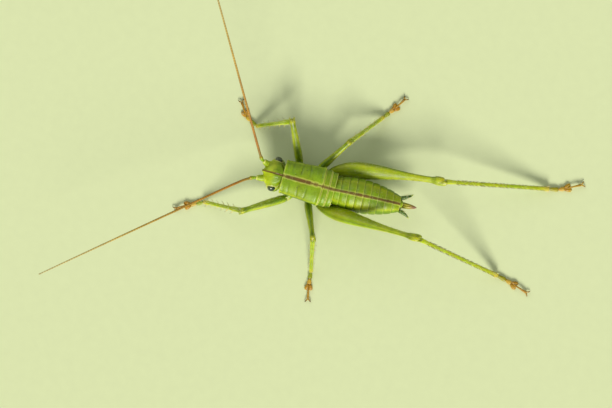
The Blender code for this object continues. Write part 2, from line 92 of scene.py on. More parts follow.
# How each leg stands: socket in the body, hip, then headings and the femur's rise and lean, in degrees.
LEGS = {
    "fore_left": {"socket": (2.75, 0.9, 2.15), "hip": (3.35, 2.4, 1.95), "femur": (32.0, 13.0), "lean": 0.0,
                  "tibia": 2.7, "toes": (25.6, 26.0, 27.0, 34.3)},
    "fore_right": {"socket": (2.65, -0.85, 2.0), "hip": (2.85, -2.1, 1.55), "femur": (-64.5, 25.0),
                   "lean": 0.0, "tibia": 20.6, "toes": (-20.0, -38.0, -50.0, -57.0)},
    "mid_left": {"socket": (0.75, 0.9, 2.05), "hip": (0.67, 2.2, 1.9), "femur": (113.4, 35.0), "lean": 0.0,
                 "tibia": 102.8, "toes": (97.0, 97.0, 99.0, 102.7)},
    "mid_right": {"socket": (0.65, -0.85, 1.95), "hip": (0.48, -1.95, 1.65), "femur": (-123.0, 19.7),
                  "lean": 0.0, "tibia": -127.5, "toes": (-127.0, -127.0, -125.0, -121.0)},
    "hind_left": {"socket": (-0.9, 0.8, 2.2), "hip": (-0.75, 2.15, 2.1), "femur": (176.6, 27.6),
                  "lean": 30.0, "tibia": 170.9, "toes": (168.0, 165.0, 164.4, 163.6)},
    "hind_right": {"socket": (-1.0, -0.8, 2.0), "hip": (-1.1, -2.1, 1.75), "femur": (-169.2, 10.6),
                   "lean": -65.0, "tibia": -168.2, "toes": (-168.0, -157.0, -152.0, -151.0)},
}
FEELERS = {
    "left": {"base": (6.42, 0.82, 4.75), "scape": (13.0, 14.0), "flagellum": (41.0, 12.0), "swing": 0.8},
    "right": {"base": (6.42, -0.82, 4.75), "scape": (-18.0, 46.0), "flagellum": (-59.0, 31.0), "swing": 0.3},
}
SCAPE_LENGTH, FLAGELLUM_LENGTH = 1.3, 29.0


# ---------------------------------------------------------------- colours
def hue(text):
    """Linear RGB of an sRGB hex colour."""
    channels = [int(text[k:k + 2], 16) / 255 for k in (1, 3, 5)]
    return np.array([c / 12.92 if c <= 0.04045 else ((c + 0.055) / 1.055) ** 2.4 for c in channels])


LIME = hue("#B4BF18")
LEAF = hue("#809E16")
MOSS = hue("#597A12")
DEEP = hue("#304C0A")
CREAM = hue("#EFE7AE")
PALE_LIME = hue("#D2D67C")
STRAW = hue("#D8C468")
AMBER = hue("#B38C34")
RUST = hue("#7D5624")
UMBER = hue("#4A2C10")
STRIPE_BROWN = hue("#63421F")
OLIVE = hue("#A8A03A")
HORN = hue("#7A4A18")
JAW_BROWN = hue("#5E2E16")
JAW_BLACK = hue("#1C0D07")


def mixed(first, second, share):
    """Colours between two, for an array of shares."""
    share = np.clip(np.asarray(share, float), 0, 1)[..., None]
    return first * (1 - share) + second * share


def smooth(low, high, x):
    """A soft step from 0 at `low` to 1 at `high`."""
    t = np.clip((np.asarray(x, float) - low) / (high - low), 0, 1)
    return t * t * (3 - 2 * t)


def line_at(x, centre, half_width, soft):
    """1 on a line of that half width, 0 away from it."""
    return 1 - smooth(half_width, half_width + soft, np.abs(np.asarray(x, float) - centre))


def hump(x, centre, reach):
    """A soft bump of height 1 round a place."""
    return np.exp(-((np.asarray(x, float) - centre) / reach) ** 2)


def freckled(colour, mask):
    """Colours with, as a fourth channel, how strongly freckles show."""
    mask = np.broadcast_to(np.asarray(mask, float), colour.shape[:-1])
    return np.concatenate([colour, mask[..., None]], axis=-1)


# ---------------------------------------------------------------- places
def placed(location=(0, 0, 0), heading=0.0, rise=0.0, lean=0.0):
    """The matrix that puts +X along the heading and the rise, rolled by the lean, at a place in mm."""
    turn = Euler((math.radians(lean), -math.radians(rise), math.radians(heading)), "XYZ")
    return np.array(Matrix.Translation(location) @ turn.to_matrix().to_4x4())


def direction(heading, rise):
    """The unit vector along a heading and a rise in degrees."""
    h, r = math.radians(heading), math.radians(rise)
    return np.array((math.cos(r) * math.cos(h), math.cos(r) * math.sin(h), math.sin(r)))


def through(at, points):
    """Points in a frame, as points of the whole animal's frame."""
    points = np.asarray(points, float)
    return points @ at[:3, :3].T + at[:3, 3]


# The frames of the standing animal, of its slightly tilted body, and of the abdomen, which swings aside.
ANIMAL = placed((*ORIGIN_SHIFT, 0.0))
BODY = ANIMAL @ placed((0, BODY_AXIS_HEIGHT * math.sin(math.radians(BODY_ROLL)), 0), lean=BODY_ROLL)
HIND_BODY = BODY @ placed((HIND_BODY_AT, 0, 0), heading=HIND_BODY_SWING)


# ---------------------------------------------------------------- surfaces
def along(stations, x):
    """The columns of stations (place, value ...) at places x, on smooth curves through them."""
    rows = np.array(stations, float)
    places, values = rows[:, 0], rows[:, 1:]
    slopes = np.empty_like(values)
    slopes[1:-1] = (values[2:] - values[:-2]) / (places[2:] - places[:-2])[:, None]
    slopes[0] = (values[1] - values[0]) / (places[1] - places[0])
    slopes[-1] = (values[-1] - values[-2]) / (places[-1] - places[-2])
    x = np.clip(np.asarray(x, float), places[0], places[-1])
    i = np.clip(np.searchsorted(places, x, side="right") - 1, 0, len(places) - 2)
    span = places[i + 1] - places[i]
    t = ((x - places[i]) / span)[:, None]
    a, b = values[i], values[i + 1]
    ta, tb = slopes[i] * span[:, None], slopes[i + 1] * span[:, None]
    return a + t * ta + t ** 2 * (3 * (b - a) - 2 * ta - tb) + t ** 3 * (2 * (a - b) + ta + tb)


def oval(angle, roundness=2.0):
    """Across and up of a unit oval, from the top; roundness 2 is an ellipse, and more is squarer."""
    s, c = np.sin(angle), np.cos(angle)
    power = 2.0 / roundness
    return np.sign(s) * np.abs(s) ** power, np.sign(c) * np.abs(c) ** power


def round_angles(count):
    """Angles evenly spread over a whole turn."""
    return np.arange(count) * math.tau / count


def rounded_ends(share, reach, power, least, middle=0.5):
    """How a form of unit length closes at both ends: 1 along it, falling to a small value at its ends."""
    return np.sqrt(np.clip(1 - (np.abs(share - middle) / reach) ** power, least, 1))


def unit(vectors):
    """The vectors at length 1."""
    return vectors / np.maximum(np.linalg.norm(vectors, axis=-1, keepdims=True), 1e-9)


def sculpted(grid, height, wraps=True):
    """The grid moved out by a height at each point, along normals that point away from its middle."""
    if wraps:
        across = np.roll(grid, -1, axis=1) - np.roll(grid, 1, axis=1)
    else:
        across = np.gradient(grid, axis=1)
    normal = unit(np.cross(np.gradient(grid, axis=0), across))
    if (normal * (grid - grid.mean(axis=(0, 1)))).sum() < 0:
        normal = -normal
    return grid + normal * np.asarray(height)[..., None]


class Surface:
    """One closed skin: world points in mm, faces, colours with a freckle mask, and how its hairs lie."""

    def __init__(self, points, faces, colours, lie, unwrap, fuzz, finish):
        self.points, self.faces, self.colours = points, faces, colours
        self.lie, self.unwrap, self.fuzz, self.finish = lie, unwrap, fuzz, finish
        corners = points[np.array([face[:3] for face in faces])] - points.mean(axis=0)
        volume = (corners[:, 0] * np.cross(corners[:, 1], corners[:, 2])).sum()
        if volume < 0:  # the faces point inwards
            self.faces = [face[::-1] for face in faces]
            self.unwrap = [loop[::-1] for loop in unwrap]


def painted(colour, shape):
    """A colour, or an array of colours with or without a freckle mask, spread over a grid."""
    colour = np.asarray(colour, float)
    if colour.shape[-1] == 3:
        colour = np.concatenate([colour, np.zeros(colour.shape[:-1] + (1,))], axis=-1)
    return np.broadcast_to(colour, (*shape, 4)).copy()


def loft(grid, at, colour, finish=0, fuzz=0.0, lie=1.0):
    """A closed skin over rings of points, in a frame; its two ends are drawn to a point."""
    rows, columns = grid.shape[:2]
    world = through(at, grid)
    colours = painted(colour, (rows, columns))
    fuzz = np.broadcast_to(np.asarray(fuzz, float), (rows, columns))
    flow = unit(np.gradient(world, axis=0) * lie)
    poles = [world[0].mean(axis=0), world[-1].mean(axis=0)]
    points = np.concatenate([world.reshape(-1, 3), poles])
    faces, unwrap = [], []
    for i in range(rows - 1):
        for k in range(columns):
            n = (k + 1) % columns
            faces.append((i * columns + k, i * columns + n, (i + 1) * columns + n, (i + 1) * columns + k))
            unwrap.append(((k / columns, i / rows), ((k + 1) / columns, i / rows),
                           ((k + 1) / columns, (i + 1) / rows), (k / columns, (i + 1) / rows)))
    first, last = rows * columns, rows * columns + 1
    for k in range(columns):
        n = (k + 1) % columns
        faces.append((first, n, k))
        unwrap.append(((k / columns, 0), ((k + 1) / columns, 0), (k / columns, 0)))
        end = (rows - 1) * columns
        faces.append((last, end + k, end + n))
        unwrap.append(((k / columns, 1), (k / columns, 0.99), ((k + 1) / columns, 0.99)))

    def with_poles(values):
        flat = values.reshape(rows * columns, -1)
        return np.concatenate([flat, values[0].reshape(columns, -1).mean(axis=0, keepdims=True),
                               values[-1].reshape(columns, -1).mean(axis=0, keepdims=True)])

    return Surface(points, faces, with_poles(colours), with_poles(flow), unwrap,
                   with_poles(fuzz[..., None])[:, 0], finish)


def shell(outer, inner, at, colour, fuzz=0.0):
    """A closed plate between two open grids of points that share their rows and columns."""
    rows, columns = outer.shape[:2]
    size = rows * columns
    world = through(at, np.stack([outer, inner]))
    colours = painted(colour, (rows, columns)).reshape(-1, 4)
    flow = unit(np.gradient(world[0], axis=0)).reshape(-1, 3)
    fuzz = np.broadcast_to(np.asarray(fuzz, float), (rows, columns)).reshape(-1)
    index = np.arange(size).reshape(rows, columns)
    rings = np.stack([index[:-1, :-1], index[:-1, 1:], index[1:, 1:], index[1:, :-1]], axis=-1)
    border = np.concatenate([index[0], index[1:, -1], index[-1, -2::-1], index[-2:0:-1, 0]]).tolist()

    def unwrapped(corners):
        return tuple((corner % columns / columns, corner // columns / rows) for corner in corners)

    faces, unwrap = [], []
    for ring in rings.reshape(-1, 4).tolist():
        back = ring[::-1]
        faces += [tuple(ring), tuple(size + corner for corner in back)]
        unwrap += [unwrapped(ring), unwrapped(back)]
    for here, there in zip(border, border[1:] + border[:1]):
        faces.append((there, here, size + here, size + there))
        unwrap.append(unwrapped((there, here, here, there)))
    return Surface(world.reshape(-1, 3), faces, np.tile(colours, (2, 1)), np.tile(flow, (2, 1)), unwrap,
                   np.concatenate([fuzz, np.zeros(size)]), finish=0)


def smooth_path(knots, steps):
    """Points on a smooth curve through knots, evenly spread over the knots' own lengths."""
    knots = np.array(knots, float)
    gone = np.concatenate([(0,), np.cumsum(np.linalg.norm(np.diff(knots, axis=0), axis=1))])
    return along(np.column_stack([gone, knots]), np.linspace(0, gone[-1], steps + 1))


def tube_grid(path, radii, columns=12, flat=1.0):
    """Rings round a path of points; `flat` squeezes them across the path's own up direction."""
    tangents = unit(np.gradient(path, axis=0))
    up = np.array((0.0, 0.0, 1.0)) if abs(tangents[0][2]) < 0.9 else np.array((1.0, 0.0, 0.0))
    across, high = oval(round_angles(columns))
    rings = []
    for point, tangent, radius in zip(path, tangents, radii):
        up = unit(up - tangent * (up @ tangent))
        side = np.cross(up, tangent)
        rings.append(point + radius * (across[:, None] * side + flat * high[:, None] * up))
    return np.array(rings)


def bead(middle, size, rows=10, columns=16, pole=0.08):
    """An oval body's grid round a middle, from three half sizes; its rings stand across X."""
    polar = np.linspace(pole, math.pi - pole, rows)[:, None]
    across, up = oval(round_angles(columns))
    grid = np.stack([-np.cos(polar) * np.ones(columns), np.sin(polar) * across, np.sin(polar) * up], axis=-1)
    return grid * np.array(size) + np.array(middle)


# ---------------------------------------------------------------- pieces
PIECES = {}
# A surface takes one of its piece's materials by number: on the body and on a leg, those beside the first.
SOFT_SKIN = 1
TOES, CLAWS = 1, 2
UNWRAP_CELLS = 5  # each surface's own unwrap gets one cell of a square of 5 by 5
UNWRAP_MARGIN = 0.03  # of a cell
SHARP_FROM = math.radians(60)


def store(mesh, name, kind, values):
    """Writes a value for each of the mesh's points."""
    field = {"FLOAT": "value", "FLOAT_VECTOR": "vector", "FLOAT_COLOR": "color"}[kind]
    mesh.attributes.new(name, kind, "POINT").data.foreach_set(field, np.asarray(values, np.float32).ravel())


def show(name, mesh, replaces=()):
    """Puts a finished mesh in the scene as a piece of the animal, which is one body without joints."""
    piece = bpy.data.objects.new(name, mesh)
    bpy.context.scene.collection.objects.link(piece)
    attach(piece, "root")
    if replaces:
        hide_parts(*replaces)
    return piece


def make_piece(name, surfaces, materials, replaces):
    """Joins surfaces into one mesh, in the materials given, that stands for CAD nodes."""
    points, faces, colours, lie, fuzz, unwrap, finishes = [], [], [], [], [], [], []
    start = 0
    for number, surface in enumerate(surfaces):
        cell = np.array((number % UNWRAP_CELLS, number // UNWRAP_CELLS % UNWRAP_CELLS))
        points.append(surface.points)
        colours.append(surface.colours)
        lie.append(surface.lie)
        fuzz.append(surface.fuzz)
        faces += [tuple(index + start for index in face) for face in surface.faces]
        unwrap += [(np.array(loop) * (1 - 2 * UNWRAP_MARGIN) + UNWRAP_MARGIN + cell) / UNWRAP_CELLS
                   for loop in surface.unwrap]
        finishes += [surface.finish] * len(surface.faces)
        start += len(surface.points)
    mesh = bpy.data.meshes.new(name)
    mesh.from_pydata((np.concatenate(points) * MM).tolist(), [], faces)
    mesh.shade_smooth()
    mesh.polygons.foreach_set("material_index", finishes)
    store(mesh, "markings", "FLOAT_COLOR", np.concatenate(colours))
    store(mesh, "lie", "FLOAT_VECTOR", np.concatenate(lie))
    store(mesh, "fuzz", "FLOAT", np.concatenate(fuzz))
    layer = mesh.uv_layers.new(name="unwrap")
    layer.data.foreach_set("uv", np.concatenate(unwrap).astype(np.float32).ravel())
    for material in materials:
        mesh.materials.append(material)
    mesh.set_sharp_from_angle(angle=SHARP_FROM)
    PIECES[name] = show(name, mesh, replaces)


# ---------------------------------------------------------------- node trees
def add(tree, kind, settings=None, **inputs):
    """Adds a node with its settings; each input takes a value, a socket or the first output of a node."""
    made = tree.nodes.new(kind)
    for name, value in (settings or {}).items():
        setattr(made, name, value)
    for name, value in inputs.items():
        wanted = name.replace("_", " ")
        sockets = [s for s in made.inputs if s.enabled and s.name == wanted]
        socket = (sockets or [s for s in made.inputs if s.identifier == name])[0]
        if isinstance(value, bpy.types.Node):
            value = next(s for s in value.outputs if s.enabled)
        if isinstance(value, bpy.types.NodeSocket):
            tree.links.new(value, socket)
        else:
            socket.default_value = value
    return made


def new_tree(name, numbers, counts=()):
    """A geometry tree from mesh to mesh whose other inputs are named numbers, counts and a material."""
    tree = bpy.data.node_groups.new(name, "GeometryNodeTree")
    sockets = [("Geometry", "INPUT", "Geometry")]
    sockets += [(number, "INPUT", "Float") for number in numbers]
    sockets += [(count, "INPUT", "Int") for count in counts]
    sockets += [("Material", "INPUT", "Material"), ("Geometry", "OUTPUT", "Geometry")]
    for label, way, kind in sockets:
        tree.interface.new_socket(name=label, in_out=way, socket_type="NodeSocket" + kind)
    return tree, add(tree, "NodeGroupInput").outputs


def end_tree(tree, parts, given):
    """The end of a geometry tree: every part a real mesh, in the material that was given."""
    whole = add(tree, "GeometryNodeRealizeInstances", Geometry=parts)
    finished = add(tree, "GeometryNodeSetMaterial", Geometry=whole, Material=given["Material"])
    add(tree, "NodeGroupOutput", Geometry=finished)
    return tree


def set_on_points(tree, given, points, aim, lie, size, sides, rings, top):
    """Ends a tree with a slender cone on every point: aimed, bowed over along its lie, and sized."""
    cone = add(tree, "GeometryNodeMeshCone", {"fill_type": "NGON"}, Vertices=sides, Side_Segments=rings,
               Radius_Top=top, Radius_Bottom=given["Slenderness"], Depth=1.0)
    axes = add(tree, "ShaderNodeSeparateXYZ", Vector=add(tree, "GeometryNodeInputPosition"))
    squared = add(tree, "ShaderNodeMath", {"operation": "POWER"}, Value=axes.outputs["Z"], Value_001=2.0)
    bow = add(tree, "ShaderNodeMath", {"operation": "MULTIPLY"}, Value=squared, Value_001=given["Bend"])
    shift = add(tree, "ShaderNodeCombineXYZ", X=bow)
    bent = add(tree, "GeometryNodeSetPosition", Geometry=cone, Offset=shift)
    marked = add(tree, "GeometryNodeStoreNamedAttribute", {"data_type": "FLOAT"}, Geometry=bent,
                 Name="reach", Value=axes.outputs["Z"])
    raised = add(tree, "FunctionNodeAlignRotationToVector", {"axis": "Z"}, Vector=aim)
    turned = add(tree, "FunctionNodeAlignRotationToVector", {"axis": "X", "pivot_axis": "Z"},
                 Rotation=raised, Vector=lie)
    many = add(tree, "GeometryNodeInstanceOnPoints", Points=points, Instance=marked, Rotation=turned,
               Scale=size)
    return end_tree(tree, many, given)


FLOOR_CLEARANCE = 0.01


def grown(name, mesh, tree, **inputs):
    """A plain mesh made by a node tree from a mesh; what would dip under the floor lies on it."""
    carrier = bpy.data.objects.new(name, mesh)
    bpy.context.scene.collection.objects.link(carrier)
    modifier = carrier.modifiers.new("grow", "NODES")
    modifier.node_group = tree
    for item in tree.interface.items_tree:
        key = item.name.replace(" ", "_")
        if item.in_out == "INPUT" and key in inputs:
            modifier[item.identifier] = inputs[key]
    bpy.context.view_layer.update()
    graph = bpy.context.evaluated_depsgraph_get()
    made = bpy.data.meshes.new_from_object(carrier.evaluated_get(graph), depsgraph=graph)
    carrier.modifiers.remove(modifier)
    bpy.data.objects.remove(carrier)
    made.name = name
    places = np.zeros(len(made.vertices) * 3, np.float32)
    made.vertices.foreach_get("co", places)
    places[2::3] = np.maximum(places[2::3], FLOOR_CLEARANCE * MM)
    made.vertices.foreach_set("co", places)
    made.update()
    return made


# ---------------------------------------------------------------- materials
CHITIN_IOR = 1.56
FEELER_RING = 0.32  # mm between the feeler's rings


def new_material(name):
    """A material with an empty tree."""
    made = bpy.data.materials.new(name)
    made.use_nodes = True
    made.node_tree.nodes.clear()
    return made, made.node_tree


def per_mm(size):
    """The scale of a texture whose pattern repeats every so many millimetres."""
    return 1.0 / (size * MM)


def colour_of(text):
    """A node socket's colour from sRGB hex."""
    return (*hue(text), 1.0)


def cuticle(name, gloss, glow, depth_mm, freckle=0.0, grain=0.12, wax=0.1):
    """Living insect cuticle over pigment: waxy, finely netted, and light goes into it a little.

    The pigment comes from the painted markings; `glow` is how much light the tissue scatters.
    """
    made, tree = new_material(name)
    place = add(tree, "ShaderNodeTexCoord").outputs["Object"]
    marks = add(tree, "ShaderNodeAttribute", {"attribute_name": "markings"})
    cloud = add(tree, "ShaderNodeTexNoise", Vector=place, Scale=per_mm(0.9), Detail=3.0, Roughness=0.6)
    drift = add(tree, "ShaderNodeTexNoise", Vector=place, Scale=per_mm(2.6), Detail=1.0)
    value = add(tree, "ShaderNodeMapRange", Value=cloud, From_Min=0.3, From_Max=0.7, To_Min=0.8,
                To_Max=1.16)
    tone = add(tree, "ShaderNodeMapRange", Value=drift, From_Min=0.3, From_Max=0.7, To_Min=0.488,
               To_Max=0.512)
    pigment = add(tree, "ShaderNodeHueSaturation", Hue=tone, Saturation=1.1, Value=value,
                  Color=marks.outputs["Color"])
    spots = add(tree, "ShaderNodeTexVoronoi", Vector=place, Scale=per_mm(0.3), Randomness=0.9)
    chance = add(tree, "ShaderNodeSeparateColor", Color=spots.outputs["Color"])
    away = add(tree, "ShaderNodeMath", {"operation": "MULTIPLY_ADD"}, Value=chance.outputs["Red"],
               Value_001=0.22, Value_002=spots.outputs["Distance"])
    dot = add(tree, "ShaderNodeMapRange", Value=away, From_Min=0.15, From_Max=0.27, To_Min=freckle,
              To_Max=0.0)
    strength = add(tree, "ShaderNodeMath", {"operation": "MULTIPLY"}, Value=dot,
                   Value_001=marks.outputs["Alpha"])
    shown = add(tree, "ShaderNodeMix", {"data_type": "RGBA"}, Factor=strength, A=pigment,
                B=colour_of("#3A2A12"))
    # The real net of cells is 0.02 mm wide, too fine to show, so it is drawn as wide as `grain` says.
    net = add(tree, "ShaderNodeTexVoronoi", {"feature": "SMOOTH_F1"}, Vector=place, Scale=per_mm(grain))
    relief = add(tree, "ShaderNodeMix", {"data_type": "FLOAT"}, Factor=0.35, A=net.outputs["Distance"],
                 B=cloud.outputs["Fac"])
    bump = add(tree, "ShaderNodeBump", Strength=0.45, Distance=0.08 * MM, Height=relief)
    rough = add(tree, "ShaderNodeMapRange", Value=cloud, From_Min=0.3, From_Max=0.7, To_Min=gloss - 0.07,
                To_Max=gloss + 0.09)
    shader = add(tree, "ShaderNodeBsdfPrincipled", Base_Color=shown, Roughness=rough, IOR=CHITIN_IOR,
                 Normal=bump, Specular_IOR_Level=0.36, Subsurface_Weight=glow,
                 Subsurface_Radius=(0.9, 1.0, 0.25), Subsurface_Scale=depth_mm * MM, Coat_Weight=wax,
                 Coat_Roughness=0.3)
    add(tree, "ShaderNodeOutputMaterial", Surface=shader)
    return made


# Waxed green cuticle of the back and sides: satin, leaf green over pale tissue, with brown freckles.
GREEN = cuticle("waxed_green_cuticle", 0.42, 0.35, 0.55, freckle=0.75)
# Thin cuticle of the legs: nearly clear over yellow-green muscle, so it glows more.
LEG = cuticle("thin_leg_cuticle", 0.4, 0.45, 0.5, freckle=0.35)
# Tanned cuticle of the feet, amber, with soft pale pads.
FOOT = cuticle("tanned_foot_cuticle", 0.45, 0.35, 0.3, grain=0.09)
# Soft pale cuticle of the palps and of the skin between plates: dull and milky.
SOFT = cuticle("soft_pale_membrane", 0.55, 0.5, 0.4, grain=0.16, wax=0.0)
# Hard tanned cuticle of jaws, claws and egg-layer: smooth, dark and polished by use.
HARD = cuticle("hard_tanned_chitin", 0.36, 0.1, 0.2, grain=0.3, wax=0.3)


def eye_cornea():
    """Compound eye: dark pigment under thousands of clear facets, which give it a broken, wet gloss."""
    made, tree = new_material("facetted_eye_cornea")
    place = add(tree, "ShaderNodeTexCoord").outputs["Object"]
    marks = add(tree, "ShaderNodeAttribute", {"attribute_name": "markings"})
    # Real facets are 0.025 mm across, too fine to show, so they are drawn 0.06 mm across.
    facets = add(tree, "ShaderNodeTexVoronoi", Vector=place, Scale=per_mm(0.06), Randomness=0.25)
    rim = add(tree, "ShaderNodeMapRange", Value=facets.outputs["Distance"], From_Min=0.3, From_Max=0.6,
              To_Min=1.0, To_Max=0.55)
    pigment = add(tree, "ShaderNodeHueSaturation", Value=rim, Color=marks.outputs["Color"])
    bump = add(tree, "ShaderNodeBump", {"invert": True}, Strength=0.5, Distance=0.012 * MM,
               Height=facets.outputs["Distance"])
    shader = add(tree, "ShaderNodeBsdfPrincipled", Base_Color=pigment, Roughness=0.22, IOR=1.5,
                 Normal=bump, Coat_Weight=0.6, Coat_Roughness=0.08)
    add(tree, "ShaderNodeOutputMaterial", Surface=shader)
    return made


def antenna_cuticle():
    """Ringed thread of the feeler: amber, each ring darker at its far rim, dull and slightly clear."""
    made, tree = new_material("ringed_feeler_cuticle")
    reach = add(tree, "ShaderNodeAttribute", {"attribute_name": "reach"}).outputs["Fac"]
    place = add(tree, "ShaderNodeTexCoord").outputs["Object"]
    turns = add(tree, "ShaderNodeMath", {"operation": "MULTIPLY"}, Value=reach, Value_001=1.0 / FEELER_RING)
    rings = add(tree, "ShaderNodeMath", {"operation": "FRACT"}, Value=turns)
    rim = add(tree, "ShaderNodeMapRange", Value=rings, From_Min=0.6, From_Max=0.95, To_Max=0.6)
    fade = add(tree, "ShaderNodeMapRange", Value=reach, From_Min=0.0, From_Max=FLAGELLUM_LENGTH)
    body = add(tree, "ShaderNodeValToRGB", Fac=fade)
    ramp = body.color_ramp.elements
    ramp[0].color = colour_of("#8C7A22")
    ramp[1].color = colour_of("#BDB27C")
    for position, shade in ((0.06, "#A66E18"), (0.22, "#AC7E22"), (0.55, "#B69A44")):
        ramp.new(position).color = colour_of(shade)
    cloud = add(tree, "ShaderNodeTexNoise", Vector=place, Scale=per_mm(1.4), Detail=2.0)
    wear = add(tree, "ShaderNodeMapRange", Value=cloud, From_Min=0.3, From_Max=0.7, To_Min=0.8,
               To_Max=1.15)
    toned = add(tree, "ShaderNodeHueSaturation", Value=wear, Color=body)
    shown = add(tree, "ShaderNodeMix", {"data_type": "RGBA"}, Factor=rim, A=toned, B=colour_of("#76531A"))
    rough = add(tree, "ShaderNodeMapRange", Value=cloud, To_Min=0.4, To_Max=0.6)
    shader = add(tree, "ShaderNodeBsdfPrincipled", Base_Color=shown, Roughness=rough, IOR=CHITIN_IOR,
                 Specular_IOR_Level=0.3, Subsurface_Weight=0.2, Subsurface_Radius=(0.9, 0.8, 0.3),
                 Subsurface_Scale=0.12 * MM)
    add(tree, "ShaderNodeOutputMaterial", Surface=shader)
    return made


def spine_chitin(name, foot_colour, tip_colour, dark_from):
    """A spine or hair: clear and pale at its foot, tanned hard and dark towards the point."""
    made, tree = new_material(name)
    reach = add(tree, "ShaderNodeAttribute", {"attribute_name": "reach"}).outputs["Fac"]
    place = add(tree, "ShaderNodeTexCoord").outputs["Object"]
    cloud = add(tree, "ShaderNodeTexNoise", Vector=place, Scale=per_mm(0.35), Detail=2.0)
    stray = add(tree, "ShaderNodeMapRange", Value=cloud, From_Min=0.3, From_Max=0.7, To_Min=-0.12,
                To_Max=0.12)
    edge = add(tree, "ShaderNodeMath", {"operation": "ADD"}, Value=reach, Value_001=stray)
    tanned = add(tree, "ShaderNodeMapRange", Value=edge, From_Min=dark_from, From_Max=dark_from + 0.35)
    shown = add(tree, "ShaderNodeMix", {"data_type": "RGBA"}, Factor=tanned, A=colour_of(foot_colour),
                B=colour_of(tip_colour))
    rough = add(tree, "ShaderNodeMapRange", Value=cloud, To_Min=0.3, To_Max=0.5)
    shader = add(tree, "ShaderNodeBsdfPrincipled", Base_Color=shown, Roughness=rough, IOR=CHITIN_IOR,
                 Subsurface_Weight=0.2, Subsurface_Scale=0.1 * MM)
    add(tree, "ShaderNodeOutputMaterial", Surface=shader)
    return made


# Clear corneal facets over green-black pigment: the wet gleam that makes the eyes look alive.
EYE = eye_cornea()
# Ringed amber skin of the feelers: dull, so only the rings' rims catch the light.
FEELER = antenna_cuticle()
# Slender movable spines of the shins: straw coloured with brown points.
SPINE = spine_chitin("straw_spine_chitin", "#D9CF7A", "#5A3512", 0.45)
# Short spinules of the thighs and the hind shins: green at the foot, black-brown from the middle on.
SPINULE = spine_chitin("dark_spinule_chitin", "#A8A83A", "#2A1A0A", 0.15)
# Spurs at the shins' ends: bone pale with an amber tip.
SPUR = spine_chitin("pale_spur_chitin", "#E6DDA0", "#A0662A", 0.75)
# Fine hairs: colourless to straw, so they catch light at the outline.
HAIR = spine_chitin("clear_fine_hair", "#E3E2AE", "#C9A35A", 0.9)


# ---------------------------------------------------------------- body
def section(places, stations, angles, roundness, factor):
    """Rings of a body across X, with a radial factor at each point."""
    half_width, low, high = along(stations, places).T
    across, up = oval(angles, roundness)
    y = half_width[:, None] * across * factor
    z = ((low + high) / 2)[:, None] + ((high - low) / 2)[:, None] * up * factor
    return np.stack([np.broadcast_to(places[:, None], y.shape), y, z], axis=-1)


def folded(angles):
    """The angle from the top, 0 to 180 degrees on both sides."""
    return np.degrees(np.minimum(angles, math.tau - angles))


# The soft fold between back and belly plates, in degrees from the top.
MEMBRANE_FROM, MEMBRANE_TO = 147.0, 158.0
BELLY_PLATES, BELLY_PLATES_FROM, BELLY_PLATE = 7, 0.2, 1.23
ABDOMEN_END = ABDOMEN[0][0]
BACK_PLATE = -ABDOMEN_END / BACK_PLATES


def abdomen_rows():
    """How far back each ring of the abdomen lies; they are closest where plates end."""
    steps = np.array((0.004, 0.05, 0.12, 0.22, 0.34, 0.46, 0.58, 0.7, 0.8, 0.88, 0.94, 0.975, 0.996))
    back_rows = BACK_PLATE * (np.arange(BACK_PLATES)[:, None] + steps).ravel()
    near_seam = np.array((-0.09, -0.05, 0, 0.05, 0.09))
    belly_rows = (BELLY_PLATES_FROM + BELLY_PLATE * np.arange(BELLY_PLATES)[:, None] + near_seam).ravel()
    rows = np.unique(np.concatenate([back_rows, belly_rows]).round(3))
    return rows[rows < back_rows[-1] + 0.001]


def back_plate_colours(places, shares, angle, y):
    """Green plates with a pale rear rim, a lime streak, the brown stripe, and painted shade on the upper
    flanks, at each plate's front and just above the fold.
    """
    above = angle < 90
    # Painted shade on the upper flanks: darker down the sides until the lower flank turns back to leaf green;
    # the pale rear rim is dimmed with it.
    side = smooth(28, 92, angle)
    colour = mixed(mixed(LEAF, LIME, 0.35 * hump(angle, 38, 16)), DEEP, 0.5 * side)
    colour = mixed(colour, LIME, 0.5 * line_at(angle, 44, 3, 6))
    colour = mixed(colour, LEAF, 0.7 * smooth(98, 112, angle))
    colour = mixed(colour, PALE_LIME, 0.6 * smooth(0.91, 0.97, shares) * (1 - 0.5 * side))
    # Painted shade in the step at the front of each plate, where it tucks under the rim of the one before.
    colour = mixed(colour, DEEP, 0.5 * (1 - smooth(0.0, 0.14, shares)))
    low_edge = 119 + 1.5 * np.sin(math.tau * shares)
    colour = mixed(colour, PALE_LIME, 0.85 * line_at(angle, low_edge, 1.2, 2.0))
    # Painted shadow: a dark band on the flank just above the fold of skin.
    colour = mixed(colour, DEEP, 0.75 * smooth(134, 143, angle))
    colour = mixed(colour, PALE_LIME, 0.5 * line_at(y, 0, 0.22, 0.1) * above)
    wander = (0.02 * np.sin(7.0 * places) + 0.015 * np.sin(17.0 * places + 1))[:, None]
    width = 0.1 + 0.03 * np.sin(math.pi * shares) + wander
    return mixed(colour, STRIPE_BROWN, 0.9 * line_at(y, 0, width, 0.07) * above)


def belly_plate_colours(shares, edge, angle):
    """Darker green plates, each framed in pale lime and cream."""
    colour = mixed(hue("#68861F"), hue("#4C6A18"), hump(angle, 180, 12) * np.sin(math.pi * shares))
    frame_line = np.maximum(1 - smooth(0.02, 0.09, shares), smooth(0.9, 0.97, shares))
    colour = mixed(colour, PALE_LIME, 0.8 * frame_line)
    return mixed(colour, CREAM, 0.8 * (1 - smooth(edge + 1, edge + 4, angle)))


